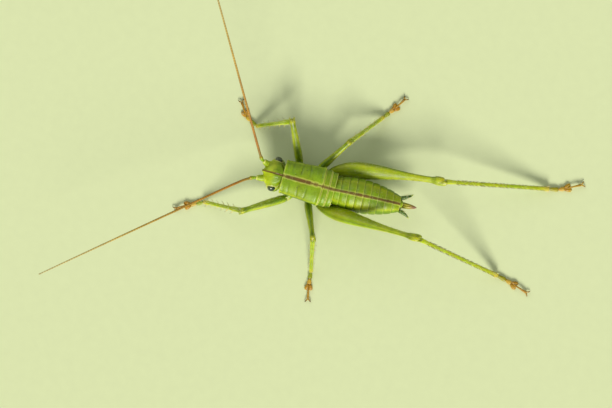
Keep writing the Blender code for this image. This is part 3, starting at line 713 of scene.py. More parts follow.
def tail_lobes():
    """The small lobes round the abdomen's end: one above, one each side and a broad one below."""
    lobes = []
    for middle, size, shade in (((ABDOMEN_END - 0.02, 0, 3.52), (0.34, 0.42, 0.26), LEAF),
                                ((ABDOMEN_END - 0.05, 0.34, 2.95), (0.3, 0.26, 0.36), MOSS),
                                ((ABDOMEN_END - 0.05, -0.34, 2.95), (0.3, 0.26, 0.36), MOSS),
                                ((ABDOMEN_END + 0.25, 0, 2.62), (0.55, 0.62, 0.3), MOSS)):
        lobe = bead(middle, size)
        pale = 0.5 * smooth(ABDOMEN_END - 0.1, ABDOMEN_END - 0.4, lobe[..., 0])
        lobes.append(loft(lobe, HIND_BODY, mixed(shade, PALE_LIME, pale), fuzz=0.6, lie=-1))
    return lobes


def build_abdomen():
    """Nine back plates that wrap the flanks, a wavy fold of skin, and a row of squarish belly plates."""
    angles = round_angles(128)
    angle = folded(angles)[None, :]
    distance = abdomen_rows()
    shares = (distance / BACK_PLATE % 1)[:, None]
    belly_shares = ((distance - BELLY_PLATES_FROM) / BELLY_PLATE % 1)[:, None]
    seam = MEMBRANE_FROM + 2.0 * np.cos(math.tau * shares)
    belly_edge = MEMBRANE_TO - 5.0 * np.sin(math.pi * belly_shares) ** 0.7
    on_side = smooth(seam - 1.5, seam + 1.5, angle)
    on_belly = smooth(belly_edge - 1.5, belly_edge + 1.5, angle)

    plate = 0.962 + 0.05 * smooth(0, 0.4, shares) + 0.006 * shares
    pleats = 0.955 + 0.012 * np.cos(math.tau * belly_shares)
    belly = 0.95 + 0.045 * smooth(0.03, 0.12, belly_shares) * (1 - smooth(0.88, 0.97, belly_shares))
    factor = plate * (1 - on_side) + pleats * on_side * (1 - on_belly) + belly * on_belly
    factor = factor + 0.012 * hump(angle, 119, 4) * (1 - on_side)
    grid = section(-distance, ABDOMEN, angles, 2.1, factor)
    y = grid[..., 1]
    above = angle < 90
    grid[..., 2] += 0.05 * hump(y, 0, 0.22) * above * (1 - 0.6 * smooth(0.6, 1.0, shares))

    back = back_plate_colours(-distance, shares, angle, y)
    fold = mixed(CREAM, PALE_LIME, 0.25 + 0.25 * np.cos(math.tau * belly_shares))
    under = belly_plate_colours(belly_shares, belly_edge, angle)
    colour = mixed(mixed(back, fold, on_side), under, on_belly)
    spiracle = hump(shares, 0.3, 0.07) * hump(angle, MEMBRANE_FROM - 8.0, 2.6)
    colour = mixed(colour, UMBER, 0.9 * smooth(0.35, 0.7, spiracle))
    freckles = (1 - smooth(100, 125, angle)) * (1 - 0.6 * line_at(y, 0, 0.2, 0.1) * above)
    skin = loft(grid, HIND_BODY, freckled(colour, freckles), fuzz=0.55 * (1 - on_side))
    return [skin] + tail_lobes()


def breast_spines():
    """Two spines on the first breast plate, and a pair of pointed lobes on each of the two behind it."""
    made = []
    for root, tip, wide in (((2.55, 0.5, 1.32), (2.42, 0.6, 0.58), 0.17),
                            ((0.95, 0.5, 1.12), (0.6, 0.86, 0.62), 0.27),
                            ((-0.62, 0.56, 1.12), (-1.0, 0.94, 0.7), 0.26)):
        for sign in SIDES.values():
            f = np.linspace(0, 1, 14)
            path = np.array(root) + (np.array(tip) - root) * f[:, None] ** (1.0, 1.0, 0.8)
            horn = tube_grid(path * (1, sign, 1), wide * (1 - f) ** 0.7 + 0.012, 16, flat=0.75)
            made.append(loft(horn, BODY, mixed(MOSS, CREAM, 0.85 * smooth(0.1, 0.6, f))[:, None, :]))
    return made


def build_thorax():
    """Side walls with their slanting seams, and the three breast plates with their spines and lobes."""
    angles = round_angles(128)
    angle = folded(angles)[None, :]
    places = np.concatenate([(-1.93,), np.linspace(-1.88, 4.2, 78), (4.24,)])
    inset = np.full((len(places), 1), 0.985)
    inset[[0, -1]] = 0.9
    grid = section(places, THORAX, angles, 2.3, inset * np.ones_like(angle))
    x, y, z = np.moveaxis(grid, -1, 0)
    seams = np.zeros_like(x)
    for foot, top, depth in ((2.05, 1.55, 1.0), (0.2, -0.35, 1.0), (1.15, 0.75, 0.6), (-0.85, -1.2, 0.6),
                             (3.1, 2.9, 0.6)):
        slant = foot + (top - foot) * (z - 1.4) / 3.5
        groove = depth * hump(x, slant, 0.07) * smooth(62, 80, angle) * (1 - smooth(150, 165, angle))
        seams = np.maximum(seams, groove)
    height = -0.09 * seams
    breast = smooth(140, 152, angle)
    rims = np.zeros_like(x)
    for back, front in ((-1.75, -0.12), (0.02, 1.72), (1.98, 3.3)):
        plate = smooth(back, back + 0.18, x) * (1 - smooth(front - 0.18, front, x)) * breast
        height += 0.1 * plate
        within = smooth(back + 0.12, back + 0.34, x) * (1 - smooth(front - 0.34, front - 0.12, x))
        rims = np.maximum(rims, plate * (1 - within))
    furrow = hump(y, 0, 0.06) * (angle > 90)
    height -= 0.07 * furrow

    colour = mixed(LEAF, MOSS, smooth(40, 100, angle))
    colour = mixed(colour, DEEP, 0.45 * hump(x + 0.25 * z, 1.9, 0.7) * smooth(80, 95, angle))
    colour = mixed(colour, DEEP, 0.45 * hump(x + 0.25 * z, -0.2, 0.6) * smooth(80, 95, angle))
    colour = mixed(colour, PALE_LIME, 0.65 * seams)
    colour = mixed(colour, mixed(LEAF, MOSS, 0.45), breast)
    colour = mixed(colour, PALE_LIME, 0.4 * rims)
    colour = mixed(colour, DEEP, 0.4 * furrow)
    skin = loft(sculpted(grid, height), BODY, freckled(colour, 0.7 * (1 - breast)), fuzz=0.35)
    return [skin] + breast_spines()


def build_neck():
    """The soft pleated skin between head and prothorax."""
    angles = round_angles(64)
    places = np.linspace(3.6, 4.75, 40)
    folds = 0.92 + 0.022 * np.sin((places - 3.6) * 26)
    stations = ((3.6, 1.9, 1.6, 5.4), (4.15, 1.86, 1.9, 5.4), (4.5, 1.7, 2.2, 5.3), (4.75, 1.4, 2.4, 5.1))
    grid = section(places, stations, angles, 2.3, folds[:, None] * np.ones_like(angles))
    colour = mixed(mixed(LEAF, PALE_LIME, 0.35), MOSS, smooth(0.9, 0.94, folds) * 0.4)
    return [loft(grid, BODY, colour[:, None, :], finish=SOFT_SKIN)]


# ---------------------------------------------------------------- back plates
SHOULDER = 0.62  # share of the way down a side at which a plate turns from back to flank
SHOULDER_DROP = 1.35  # mm from a plate's top down to its shoulder


def saddle_grid(front, back, arcs, widths, crown, lobe, hem, rows, columns):
    """A plate bent over the back, with each point's share of its length and how far down a side it is.

    Rows run to the rear, columns from right hem to left hem. Pairs are of the front and the rear end: how
    far the end bows forwards, its half width and its top. The hem hangs lowest at the share `lobe`.
    """
    f = np.linspace(0, 1, rows)[:, None]
    j = np.linspace(-1, 1, columns)[None, :]
    a = np.abs(j)
    half_width = widths[0] + (widths[1] - widths[0]) * f
    top = crown[0] + (crown[1] - crown[0]) * f
    shoulder = top - SHOULDER_DROP
    reach = (f - lobe) / max(lobe, 1 - lobe)
    low = hem + (shoulder - hem) * 0.7 * reach ** 2
    across, up = oval(math.pi / 2 * np.minimum(a / SHOULDER, 1), 2.5)
    down = np.clip((a - SHOULDER) / (1 - SHOULDER), 0, 1)
    on_back = a < SHOULDER
    y = np.where(on_back, half_width * across, half_width * (1 - 0.08 * down ** 2))
    z = np.where(on_back, shoulder + (top - shoulder) * up, shoulder + (low - shoulder) * down)
    bulge = (arcs[0] * (1 - f) + arcs[1] * f) * (1 - a ** 2)
    x = front + (back - front) * f - bulge
    grid = np.stack([x, np.sign(j) * y, z], axis=-1)
    return grid, np.broadcast_to(f, x.shape), np.broadcast_to(a, x.shape)


def rim_of(f, a, length, width):
    """Distance in mm from a plate's margin, roughly."""
    to_ends = np.minimum(f, 1 - f) * length
    to_hem = (1 - a) * width
    return np.minimum(to_ends, to_hem)


def back_stripe(colour, y, half_width):
    """The brown stripe along the middle of the back, edged in pale lime."""
    colour = mixed(colour, PALE_LIME, 0.6 * line_at(y, 0, half_width + 0.14, 0.1))
    return mixed(colour, STRIPE_BROWN, 0.92 * line_at(y, 0, half_width, 0.08))


def build_pronotum():
    """The saddle: a flat disc with three shallow cross furrows, round side lobes and a rolled pale rim."""
    grid, f, a = saddle_grid(front=4.4, back=-0.15, arcs=(-0.1, 0.45), widths=(2.15, 2.5),
                             crown=(5.75, 5.95), lobe=0.5, hem=2.65, rows=70, columns=141)
    x, y = grid[..., 0], grid[..., 1]
    rim = rim_of(f, a, 4.6, 4.3)
    on_disc = (1 - smooth(0.72, 0.9, a)) * smooth(0.05, 0.14, a)
    furrows = np.zeros_like(x)
    for place, bend, deep in ((0.2, 0.1, 0.6), (0.42, 0.16, 1.0), (0.64, -0.1, 0.8)):
        furrows = np.maximum(furrows, deep * hump(f, place + bend * a ** 2, 0.022) * on_disc)
    height = 0.05 * hump(rim, 0.1, 0.1) - 0.03 * hump(rim, 0.34, 0.1)
    height -= 0.055 * furrows
    height += 0.04 * hump(a, 0.45, 0.06) * smooth(0.3, 0.8, f)
    height -= 0.03 * hump(y, 0, 0.1) * smooth(0.05, 0.2, f)
    outer = sculpted(grid, height - 0.06, wraps=False)
    inner = sculpted(grid, -0.24 + 0.08 * (1 - smooth(0.0, 0.3, rim)), wraps=False)

    on_side = smooth(0.5, 0.62, a)
    side_rim = (1 - smooth(0.1, 0.22, rim)) * on_side
    disc_rim = (1 - smooth(0.06, 0.16, rim)) * (1 - on_side)
    colour = mixed(MOSS, LEAF, 1 - smooth(0.4, 0.6, a))
    colour = mixed(colour, LIME, 0.4 * hump(a, 0.47, 0.05) + 0.25 * smooth(0.65, 0.95, a))
    colour = mixed(colour, DEEP, 0.4 * furrows)
    colour = mixed(colour, DEEP, 0.22 * hump(a, 0.62, 0.1))
    colour = mixed(colour, PALE_LIME, 0.8 * side_rim + 0.45 * disc_rim)
    wander = 0.02 * np.sin(7 * x) + 0.012 * np.sin(19 * x)
    colour = back_stripe(colour, y, 0.12 + 0.06 * hump(f, 0.42, 0.25) + wander)
    return [shell(outer, inner, BODY, freckled(colour, 1 - line_at(y, 0, 0.25, 0.1)), fuzz=0.3)]


def build_wing_plate(front, back, arcs, widths, crown, hem, vein_phase):
    """A back plate of the second or third segment; its side lobes are the wing buds, with raised veins."""
    grid, f, a = saddle_grid(front, back, arcs, widths, crown, 0.85, hem, rows=56, columns=151)
    y = grid[..., 1]
    rim = rim_of(f, a, 0.95, 3.6)
    bud = smooth(0.55, 0.68, a)
    spread = (f - 0.1) / (0.4 + 0.75 * smooth(0.5, 1.0, a))
    veins = bud * np.clip(np.cos(math.tau * 2.6 * spread + vein_phase), 0, 1) ** 2
    height = 0.035 * veins + 0.03 * hump(rim, 0.06, 0.07) - 0.05 * hump(f, 0.3, 0.07) * (1 - bud)
    outer = sculpted(grid, height - 0.05, wraps=False)
    inner = sculpted(grid, -0.22 + 0.07 * (1 - smooth(0.0, 0.2, rim)), wraps=False)
    colour = mixed(LEAF, MOSS, smooth(0.3, 0.62, a))
    colour = mixed(colour, DEEP, 0.35 * bud * (1 - veins))
    colour = mixed(colour, PALE_LIME, 0.5 * veins)
    colour = mixed(colour, PALE_LIME, 0.75 * (1 - smooth(0.05, 0.13, rim)))
    colour = back_stripe(colour, y, 0.12)
    return [shell(outer, inner, BODY, freckled(colour, 1 - bud), fuzz=0.25)]


# ---------------------------------------------------------------- head
def ring_rim(point, centre, axes, where, width):
    """1 on the rim of an oval patch of the surface."""
    d = np.sqrt((((point - np.array(centre)) / np.array(axes)) ** 2).sum(axis=-1))
    return np.exp(-((d - where) / width) ** 2)


def patch(point, centre, axes):
    """1 in the middle of an oval patch of the surface, fading outwards."""
    d = (((point - np.array(centre)) / np.array(axes)) ** 2).sum(axis=-1)
    return np.exp(-d)


SOCKET = FEELERS["left"]["base"]  # of a feeler
EYE_HOLE = (0.56, 0.5, 0.7)
HEAD_TOP, HEAD_DOME = 5.74, 0.09


def head_grid():
    """The capsule's level rings, drawn in at the mouth and closed by a low dome on top."""
    dome = np.linspace(0.15, 1.5, 8)
    levels = np.concatenate([np.linspace(1.98, HEAD_TOP, 112), HEAD_TOP + HEAD_DOME * np.sin(dome)])
    closing = np.ones_like(levels)
    closing[-8:] = np.cos(dome) * 0.98
    closing[:5] = (0.78, 0.88, 0.94, 0.975, 0.99)
    back, front, half_width, roundness = along(HEAD, levels).T
    aside, ahead = oval(round_angles(180), roundness[:, None])
    x = ((back + front) / 2)[:, None] + ((front - back) / 2 * closing)[:, None] * ahead
    y = (half_width * closing)[:, None] * aside
    return np.stack([x, y, np.broadcast_to(levels[:, None], x.shape)], axis=-1)


def head_grooves(x, side, z, face):
    """The fine grooves between the face's plates, and the pits at the ends of the one across it."""
    below_eye = 1.12 + 0.36 * (z - 2.4)
    cheek = hump(side, below_eye, 0.05) * face * smooth(2.3, 2.5, z) * (1 - smooth(3.5, 3.72, z))
    arch = 2.93 + 0.1 * hump(side, 0, 0.5)
    across = hump(z, arch, 0.045) * face * (1 - smooth(0.95, 1.1, side))
    shield_side = hump(side, 0.86 + 0.3 * (z - 2.3), 0.05) * face * (1 - smooth(2.85, 2.95, z))
    at_temple = smooth(1.0, 1.25, side) * smooth(2.9, 3.2, z) * (1 - smooth(5.0, 5.2, z))
    temple = hump(x, 4.72 + 0.12 * np.sin(2.2 * z), 0.06) * at_temple
    pit = patch(np.stack([x, side, z], axis=-1), (6.2, 1.0, 2.9), (0.3, 0.07, 0.07))
    return np.maximum.reduce([across, shield_side, 0.7 * cheek, 0.6 * temple]), pit


def build_head():
    """The head capsule: sockets for eyes and feelers, forehead peak, face shield, cheeks and simple eye."""
    grid = head_grid()
    x, y, z = np.moveaxis(grid, -1, 0)
    side = np.abs(y)
    p = np.stack([x, side, z], axis=-1)
    face = smooth(5.2, 5.9, x)
    eye_rim = ring_rim(p, EYE_AT, EYE_HOLE, 1.05, 0.14)
    socket_rim = ring_rim(p, SOCKET, (0.5, 0.47, 0.48), 1.0, 0.16)
    grooves, pit = head_grooves(x, side, z, face)

    height = 0.1 * eye_rim + 0.11 * socket_rim - 0.1 * patch(p, SOCKET, (0.33, 0.28, 0.3))
    # The peak between the feelers, furrowed along its top, over a notch and the forehead's own low ridge.
    height += 0.3 * patch(p, (6.82, 0, 5.22), (0.6, 0.2, 0.3))
    height -= 0.05 * hump(side, 0, 0.05) * smooth(4.95, 5.2, z)
    height -= 0.1 * patch(p, (6.95, 0, 4.86), (0.4, 0.3, 0.08))
    height += 0.06 * hump(side, 0, 0.26) * face * smooth(3.0, 3.4, z) * (1 - smooth(4.4, 4.75, z))
    height -= 0.07 * patch(p, (6.6, 0.72, 4.05), (0.7, 0.3, 0.42))
    height -= 0.06 * grooves + 0.08 * pit
    height += 0.06 * patch(p, (5.2, 1.9, 3.1), (0.6, 0.6, 0.6))
    # Fine dimples all over the forehead and cheeks.
    dimples = np.sin(9.1 * x + 5.3 * z) * np.sin(8.3 * y + 1.7 * z) * np.sin(9.7 * z - 3.1 * y)
    height -= 0.012 * dimples ** 2

    colour = mixed(LEAF, LIME, 0.45 * face * smooth(3.0, 4.4, z) + 0.15)
    shield = face * (1 - smooth(2.75, 3.0, z)) * (1 - smooth(1.0, 1.2, side))
    colour = mixed(colour, PALE_LIME, 0.5 * shield)
    colour = mixed(colour, MOSS, 0.5 * smooth(4.6, 5.4, z) * (1 - face))
    colour = mixed(colour, MOSS, 0.5 * patch(p, (6.6, 0.72, 3.95), (0.7, 0.26, 0.6)))
    colour = mixed(colour, PALE_LIME, 0.5 * patch(p, (6.0, 1.55, 3.1), (0.6, 0.16, 0.7)))
    colour = mixed(colour, DEEP, 0.4 * patch(p, (5.35, 1.95, 3.5), (0.24, 0.8, 0.42)))
    colour = mixed(colour, DEEP, 0.55 * grooves)
    colour = mixed(colour, UMBER, 0.8 * pit)
    behind_eye = (1 - smooth(4.85, 5.05, x)) * smooth(0.9, 1.2, side)
    colour = mixed(colour, CREAM, 0.6 * line_at(z, 4.55 + 0.12 * (5 - x), 0.07, 0.1) * behind_eye)
    colour = mixed(colour, CREAM, 0.5 * ring_rim(p, EYE_AT, EYE_HOLE, 1.08, 0.1))
    colour = mixed(colour, PALE_LIME, 0.5 * socket_rim)
    width = 0.07 + 0.035 * smooth(6.6, 5.0, x)
    colour = mixed(colour, STRIPE_BROWN, 0.85 * line_at(side, 0, width, 0.06) * smooth(5.12, 5.32, z))
    colour = mixed(colour, RUST, 0.45 * (1 - smooth(2.05, 2.25, z)))
    capsule = loft(sculpted(grid, height), BODY, freckled(colour, 0.9 - 0.45 * face), fuzz=0.3, lie=-1)
    return [capsule, simple_eye()]


def simple_eye():
    """The small glassy third eye in the middle of the forehead."""
    middle = (6.93, 0, 4.62)
    grid = bead(middle, (0.07, 0.1, 0.12), rows=12, columns=20)
    from_middle = np.hypot(grid[..., 1], grid[..., 2] - middle[2])
    return loft(grid, BODY, mixed(hue("#D9D08A"), OLIVE, smooth(0.04, 0.1, from_middle)))


def build_eyes():
    """Domed oval eyes, green-black and paler on top, with a black spot that seems to look back."""
    for name, sign in SIDES.items():
        at = BODY @ placed((EYE_AT[0], sign * EYE_AT[1], EYE_AT[2]), rise=EYE_RISE)
        grid = bead((0, 0, 0), EYE_SIZE, rows=40, columns=64, pole=0.05)
        z = grid[..., 2]
        spot = patch(grid * (1, sign, 1), (0.16, 0.45, 0.02), (0.2, 0.3, 0.24))
        colour = mixed(hue("#16282A"), hue("#2F4634"), smooth(0.1, 0.55, z) * 0.8)
        colour = mixed(colour, hue("#5E6A3A"), 0.6 * smooth(0.35, 0.62, z))
        colour = mixed(colour, hue("#070B0C"), spot)
        make_piece(f"eye_facets_{name}", [loft(grid, at, colour)], [EYE], [f"eye_{name}"])


def build_face_lobe():
    """The face shield's lower half and the upper lip hinged to it, a rounded flap notched in the middle."""
    levels = np.linspace(0.0, 1.0, 72)
    stations = ((0.0, 1.04, 5.22, 0.34, 0.3), (0.13, 1.3, 5.4, 0.72, 0.5), (0.4, 1.76, 5.68, 0.93, 0.52),
                (0.6, 2.08, 5.84, 0.86, 0.5), (0.7, 2.25, 5.92, 0.98, 0.5), (1.0, 2.84, 6.16, 0.86, 0.45))
    z_at, front, half_width, thick = along(stations, levels).T
    across, ahead = oval(round_angles(72), 2.5)
    closing = rounded_ends(levels, 0.52, 10, 0.05)[:, None]
    level = levels[:, None] * np.ones_like(across)
    y = half_width[:, None] * across * closing
    hinge = hump(level, 0.64, 0.02)
    fold = hump(level, 0.84, 0.018)
    relief = 0.09 * hump(y, 0.0, 0.62) * hump(level, 0.36, 0.2) - 0.07 * hinge - 0.035 * fold
    relief += 0.03 * hump(np.abs(y), 0.5, 0.16) * hump(level, 0.74, 0.07)
    relief -= 0.03 * hump(y, 0, 0.06) * (level < 0.5)
    x = front[:, None] + (thick[:, None] / 2) * (ahead * closing - 1) + relief * (ahead > 0)
    notch = 0.13 * hump(y, 0, 0.15) * (1 - smooth(0.1, 0.3, level))
    grid = np.stack([x, y, z_at[:, None] + notch], axis=-1)
    colour = mixed(LEAF, PALE_LIME, 0.35 + 0.3 * smooth(0.66, 0.8, level))
    colour = mixed(colour, STRAW, 0.35 * hump(level, 0.3, 0.16))
    colour = mixed(colour, DEEP, 0.55 * np.maximum(hinge, 0.6 * fold))
    colour = mixed(colour, RUST, 0.65 * (1 - smooth(0.02, 0.13, level)))
    lobe = loft(grid, BODY, freckled(colour, 0.5), fuzz=0.5, lie=-1)
    make_piece("face_lobe", [lobe], [GREEN], ["labrum"])


JAW_AT, JAW_BACK = 0.69, 4.35  # the middle of a jaw aside, and its rear face along X


def build_jaws():
    """Biting jaws: broad green-straw bases beside the lip, tanned towards black overlapping teeth."""
    stations = ((0.0, 1.14, 4.8, 0.16), (0.2, 1.38, 5.1, 0.46), (0.5, 1.72, 5.36, 0.6),
                (0.8, 2.04, 5.46, 0.62), (1.0, 2.3, 5.44, 0.56))
    f = np.linspace(0, 1, 44)[:, None]
    z_at, front, half_width = along(stations, f[:, 0]).T[..., None]
    closing = rounded_ends(f, 0.53, 6, 0.06)
    across, ahead = oval(round_angles(48), 2.3)
    for name, sign in SIDES.items():
        x = (front + JAW_BACK) / 2 + (front - JAW_BACK) / 2 * ahead * closing
        y = sign * JAW_AT + half_width * across * closing
        out = np.abs(y)
        y = y - sign * 0.07 * hump(f, 0.62, 0.07) * (out > 0.7)
        teeth = 0.06 * np.sin(f * 46) * hump(out, 0.1, 0.14) * (1 - smooth(0.3, 0.5, f))
        grid = np.stack([x, y, z_at + teeth], axis=-1)
        share = f + 0.05 * np.sin(5 * x)
        colour = mixed(JAW_BLACK, JAW_BROWN, smooth(0.05, 0.3, share))
        colour = mixed(colour, hue("#9A7A2E"), smooth(0.14, 0.3, share) * smooth(0.85, 1.0, out))
        outer_base = smooth(0.26, 0.46, share) * smooth(0.88, 1.04, out)
        colour = mixed(colour, mixed(LEAF, STRAW, 0.35), outer_base)
        make_piece(f"jaw_{name}", [loft(grid, BODY, colour)], [HARD], [f"mandible_{name}"])


def build_underlip():
    """The underlip and the inner blades behind the jaws."""
    lobes = []
    for middle, size, shade in (((4.42, 0, 1.72), (0.2, 0.9, 0.5), mixed(LEAF, PALE_LIME, 0.5)),
                                ((4.4, 0.32, 1.28), (0.16, 0.28, 0.34), hue("#9C6A34")),
                                ((4.4, -0.32, 1.28), (0.16, 0.28, 0.34), hue("#9C6A34")),
                                ((4.52, 0.8, 1.5), (0.18, 0.26, 0.5), hue("#7A4420")),
                                ((4.52, -0.8, 1.5), (0.18, 0.26, 0.5), hue("#7A4420"))):
        lobe = bead(middle, size, rows=18, columns=32)
        pale = mixed(shade, PALE_LIME, 0.5 * smooth(1.45, 1.15, lobe[..., 2]))
        lobes.append(loft(lobe, BODY, pale, fuzz=0.4, lie=-1))
    make_piece("underlip", lobes, [SOFT], [])


PALP_STEPS = 120
PALPS = (  # knots of the line, places of its joints along it and thickness, for the long and the short palp
    (((4.55, 0.75, 1.0), (4.05, 1.25, 0.95), (3.6, 1.55, 1.0), (3.3, 1.6, 0.9), (2.9, 1.15, 0.55),
      (2.55, 0.92, 0.44)), (0.0, 0.13, 0.28, 0.48, 0.68, 1.0), 0.165),
    (((4.35, 0.5, 1.15), (4.0, 0.72, 0.78), (3.62, 0.82, 0.66), (3.25, 0.7, 0.58)),
     (0.0, 0.25, 0.55, 1.0), 0.13),
)


def build_palps():
    """Jointed feelers of the mouth; the last joint is the longest and widens to a soft blunt end."""
    for name, sign in SIDES.items():
        chains = []
        for knots, joints, thick in PALPS:
            path = smooth_path([(x, sign * y, z) for x, y, z in knots], PALP_STEPS)
            for first, end in zip(joints, joints[1:]):
                part = path[int(PALP_STEPS * first):int(PALP_STEPS * end) + 1]
                f = np.linspace(0, 1, len(part))
                swell = 0.78 + 0.3 * f ** 2 if end < 1 else 0.7 + 0.5 * f ** 1.5
                shade = mixed(mixed(PALE_LIME, LEAF, 0.3), LEAF, 0.6 * (1 - smooth(0.0, 0.25, f)))
                if end == 1:
                    shade = mixed(shade, CREAM, 0.6 * smooth(0.75, 1.0, f))
                rings = tube_grid(part, thick * swell * rounded_ends(f, 0.512, 16, 0.03), 20)
                chains.append(loft(rings, BODY, shade[:, None, :], fuzz=0.8))
        make_piece(f"palps_{name}", chains, [SOFT], [f"palp_{name}"])


# ---------------------------------------------------------------- feelers
def feeler_tree():
    """Turns a line into a thread of rings: it thins outwards and swells a little at each ring."""
    tree, given = new_tree("ringed_thread", ("Root Radius", "Tip Radius", "Ring Pitch", "Ring Swell"))
    step = add(tree, "ShaderNodeMath", {"operation": "DIVIDE"}, Value=given["Ring Pitch"], Value_001=4.0)
    line = add(tree, "GeometryNodeMeshToCurve", Mesh=given["Geometry"])
    even = add(tree, "GeometryNodeResampleCurve", {"mode": "LENGTH"}, Curve=line, Length=step)
    spot = add(tree, "GeometryNodeSplineParameter")
    thin = add(tree, "ShaderNodeMapRange", Value=spot.outputs["Factor"], To_Min=given["Root Radius"],
               To_Max=given["Tip Radius"])
    turns = add(tree, "ShaderNodeMath", {"operation": "DIVIDE"}, Value=spot.outputs["Length"],
                Value_001=given["Ring Pitch"])
    phase = add(tree, "ShaderNodeMath", {"operation": "FRACT"}, Value=turns)
    raised = add(tree, "ShaderNodeMath", {"operation": "POWER"}, Value=phase, Value_001=2.0)
    extra = add(tree, "ShaderNodeMath", {"operation": "MULTIPLY_ADD"}, Value=raised,
                Value_001=given["Ring Swell"], Value_002=1.0)
    radius = add(tree, "ShaderNodeMath", {"operation": "MULTIPLY"}, Value=thin, Value_001=extra)
    in_mm = add(tree, "ShaderNodeMath", {"operation": "MULTIPLY"}, Value=spot.outputs["Length"],
                Value_001=1.0 / MM)
    marked = add(tree, "GeometryNodeStoreNamedAttribute", {"data_type": "FLOAT"}, Geometry=even,
                 Name="reach", Value=in_mm)
    outline = add(tree, "GeometryNodeCurvePrimitiveCircle", Resolution=10, Radius=1.0)
    skin = add(tree, "GeometryNodeCurveToMesh", Curve=marked, Profile_Curve=outline, Scale=radius,
               Fill_Caps=True)
    return end_tree(tree, skin, given)


def feeler_path(pose):
    """The thread's line, which swings out over its first millimetres and droops to its tip."""
    start = np.array(pose["base"])
    way = direction(*pose["scape"])
    tip = start + way * SCAPE_LENGTH
    steps = 22
    point = tip + way * GAP
    points = [point]
    for k in range(steps):
        stretch = FLAGELLUM_LENGTH * ((k + 1) ** 1.5 - k ** 1.5) / steps ** 1.5
        gone = FLAGELLUM_LENGTH * ((k + 0.5) / steps) ** 1.5
        left_over = math.exp(-gone / pose["swing"])
        heading, rise = (end + (first - end) * left_over
                         for first, end in zip(pose["scape"], pose["flagellum"]))
        point = point + direction(heading, rise - 0.25 * gone) * stretch
        points.append(point)
    return start, tip, points


def feeler_base(start, tip, points):
    """A feeler's stout first joint and the small round one that turns the thread."""
    f = np.linspace(-0.18, 1.0, 40)
    radii = along(((-0.18, 0.3), (0.25, 0.41), (0.6, 0.38), (0.88, 0.3), (1.0, 0.27)), f)[:, 0]
    radii *= rounded_ends(f, 0.6, 10, 0.02, middle=0.41)
    shade = freckled(mixed(mixed(LEAF, LIME, 0.4), PALE_LIME, line_at(f, 0.97, 0.05, 0.08)), 0.5)
    grid = tube_grid(start + (tip - start) * f[:, None], radii, 28, flat=0.92)
    first = loft(grid, BODY, shade[:, None, :], fuzz=0.7)
    f = np.linspace(0, 1, 20)
    path = smooth_path([tip - (tip - start) * 0.08, points[1], points[2]], 19)
    swell = along(((0, 0.16), (0.3, 0.18), (0.65, 0.235), (0.9, 0.22), (1, 0.19)), f)[:, 0]
    shade = mixed(LEAF, AMBER, 0.7 * smooth(0.5, 1.0, f))
    grid = tube_grid(path, swell * rounded_ends(f, 0.515, 10, 0.04), 24)
    return [first, loft(grid, BODY, shade[:, None, :], fuzz=0.5)]


def build_feelers():
    """The two feelers: their jointed bases, and long threads grown from a line."""
    tree = feeler_tree()
    for side, pose in FEELERS.items():
        start, tip, points = feeler_path(pose)
        make_piece(f"feeler_base_{side}", feeler_base(start, tip, points), [GREEN], [f"scape_{side}"])
        # The thread starts just inside the small round joint.
        knots = [points[2] * 0.85 + points[1] * 0.15] + points[3:]
        world = through(BODY, smooth_path(knots, 120)) * MM
        line = bpy.data.meshes.new(f"line_{side}")
        line.from_pydata(world.tolist(), [(k, k + 1) for k in range(len(world) - 1)], [])
        thread = grown(f"feeler_thread_{side}", line, tree, Root_Radius=0.15 * MM, Tip_Radius=0.07 * MM,
                       Ring_Pitch=FEELER_RING * MM, Ring_Swell=0.13, Material=FEELER)
        thread.shade_smooth()
        show(f"feeler_thread_{side}", thread, [f"flagellum_{side}"])


# ---------------------------------------------------------------- tail
def build_egg_layer():
    """The young egg-layer, a short upcurved sabre of paired blades."""
    tip, root = -10.77, -7.5
    stations = ((-10.76, 0.05, 2.7, 2.82), (-10.4, 0.2, 2.4, 2.85), (-9.7, 0.34, 2.1, 2.85),
                (-8.7, 0.44, 1.8, 2.75), (root, 0.5, 1.62, 2.6))
    places = np.concatenate([(tip,), np.linspace(-10.75, -7.55, 60), (root,)])
    angles = round_angles(56)
    angle = folded(angles)[None, :]
    share = ((places - tip) / (root - tip))[:, None] * np.ones_like(angle)
    factor = np.ones_like(share) - 0.22 * hump(angle, 0, 9) - 0.22 * hump(angle, 180, 9) \
        - 0.16 * hump(angle, 96, 8)
    factor[0] *= 0.5
    factor[-1] *= 0.8
    grid = section(places, stations, angles, 2.0, factor)
    colour = mixed(mixed(HORN, OLIVE, smooth(0.08, 0.42, share)), LEAF, smooth(0.4, 0.85, share))
    grooves = hump(angle, 96, 6) + hump(angle, 0, 6) + hump(angle, 180, 6)
    colour = mixed(colour, UMBER, 0.5 * grooves * (1 - 0.5 * share))
    make_piece("egg_layer", [loft(grid, HIND_BODY, colour)], [HARD], ["ovipositor"])


def build_cerci():
    """The pair of hairy cones at the tail, curved a little inwards and down."""
    f = np.linspace(0, 1, 30)
    radii = along(((0, 0.2), (0.12, 0.25), (0.35, 0.24), (0.6, 0.19), (0.85, 0.11), (1.0, 0.03)), f)[:, 0]
    shade = mixed(mixed(DEEP, MOSS, 0.35), PALE_LIME, 0.7 * smooth(0.75, 1.0, f))
    length = 1.75
    for side, sign in SIDES.items():
        root = np.array((ABDOMEN_END + 0.1, sign * 0.78, 3.1))
        path = np.array([root + direction(180 - sign * (10 + 16 * t), 4 - 12 * t) * length * t for t in f])
        cone = loft(tube_grid(path, radii, 20), HIND_BODY, shade[:, None, :], fuzz=1.4)
        make_piece(f"cercus_cone_{side}", [cone], [LEG], [f"cercus_{side}"])


# ---------------------------------------------------------------- legs
SHIN_NARROW = 0.96
LIMB_CAP = 7  # rings that close a limb at each end


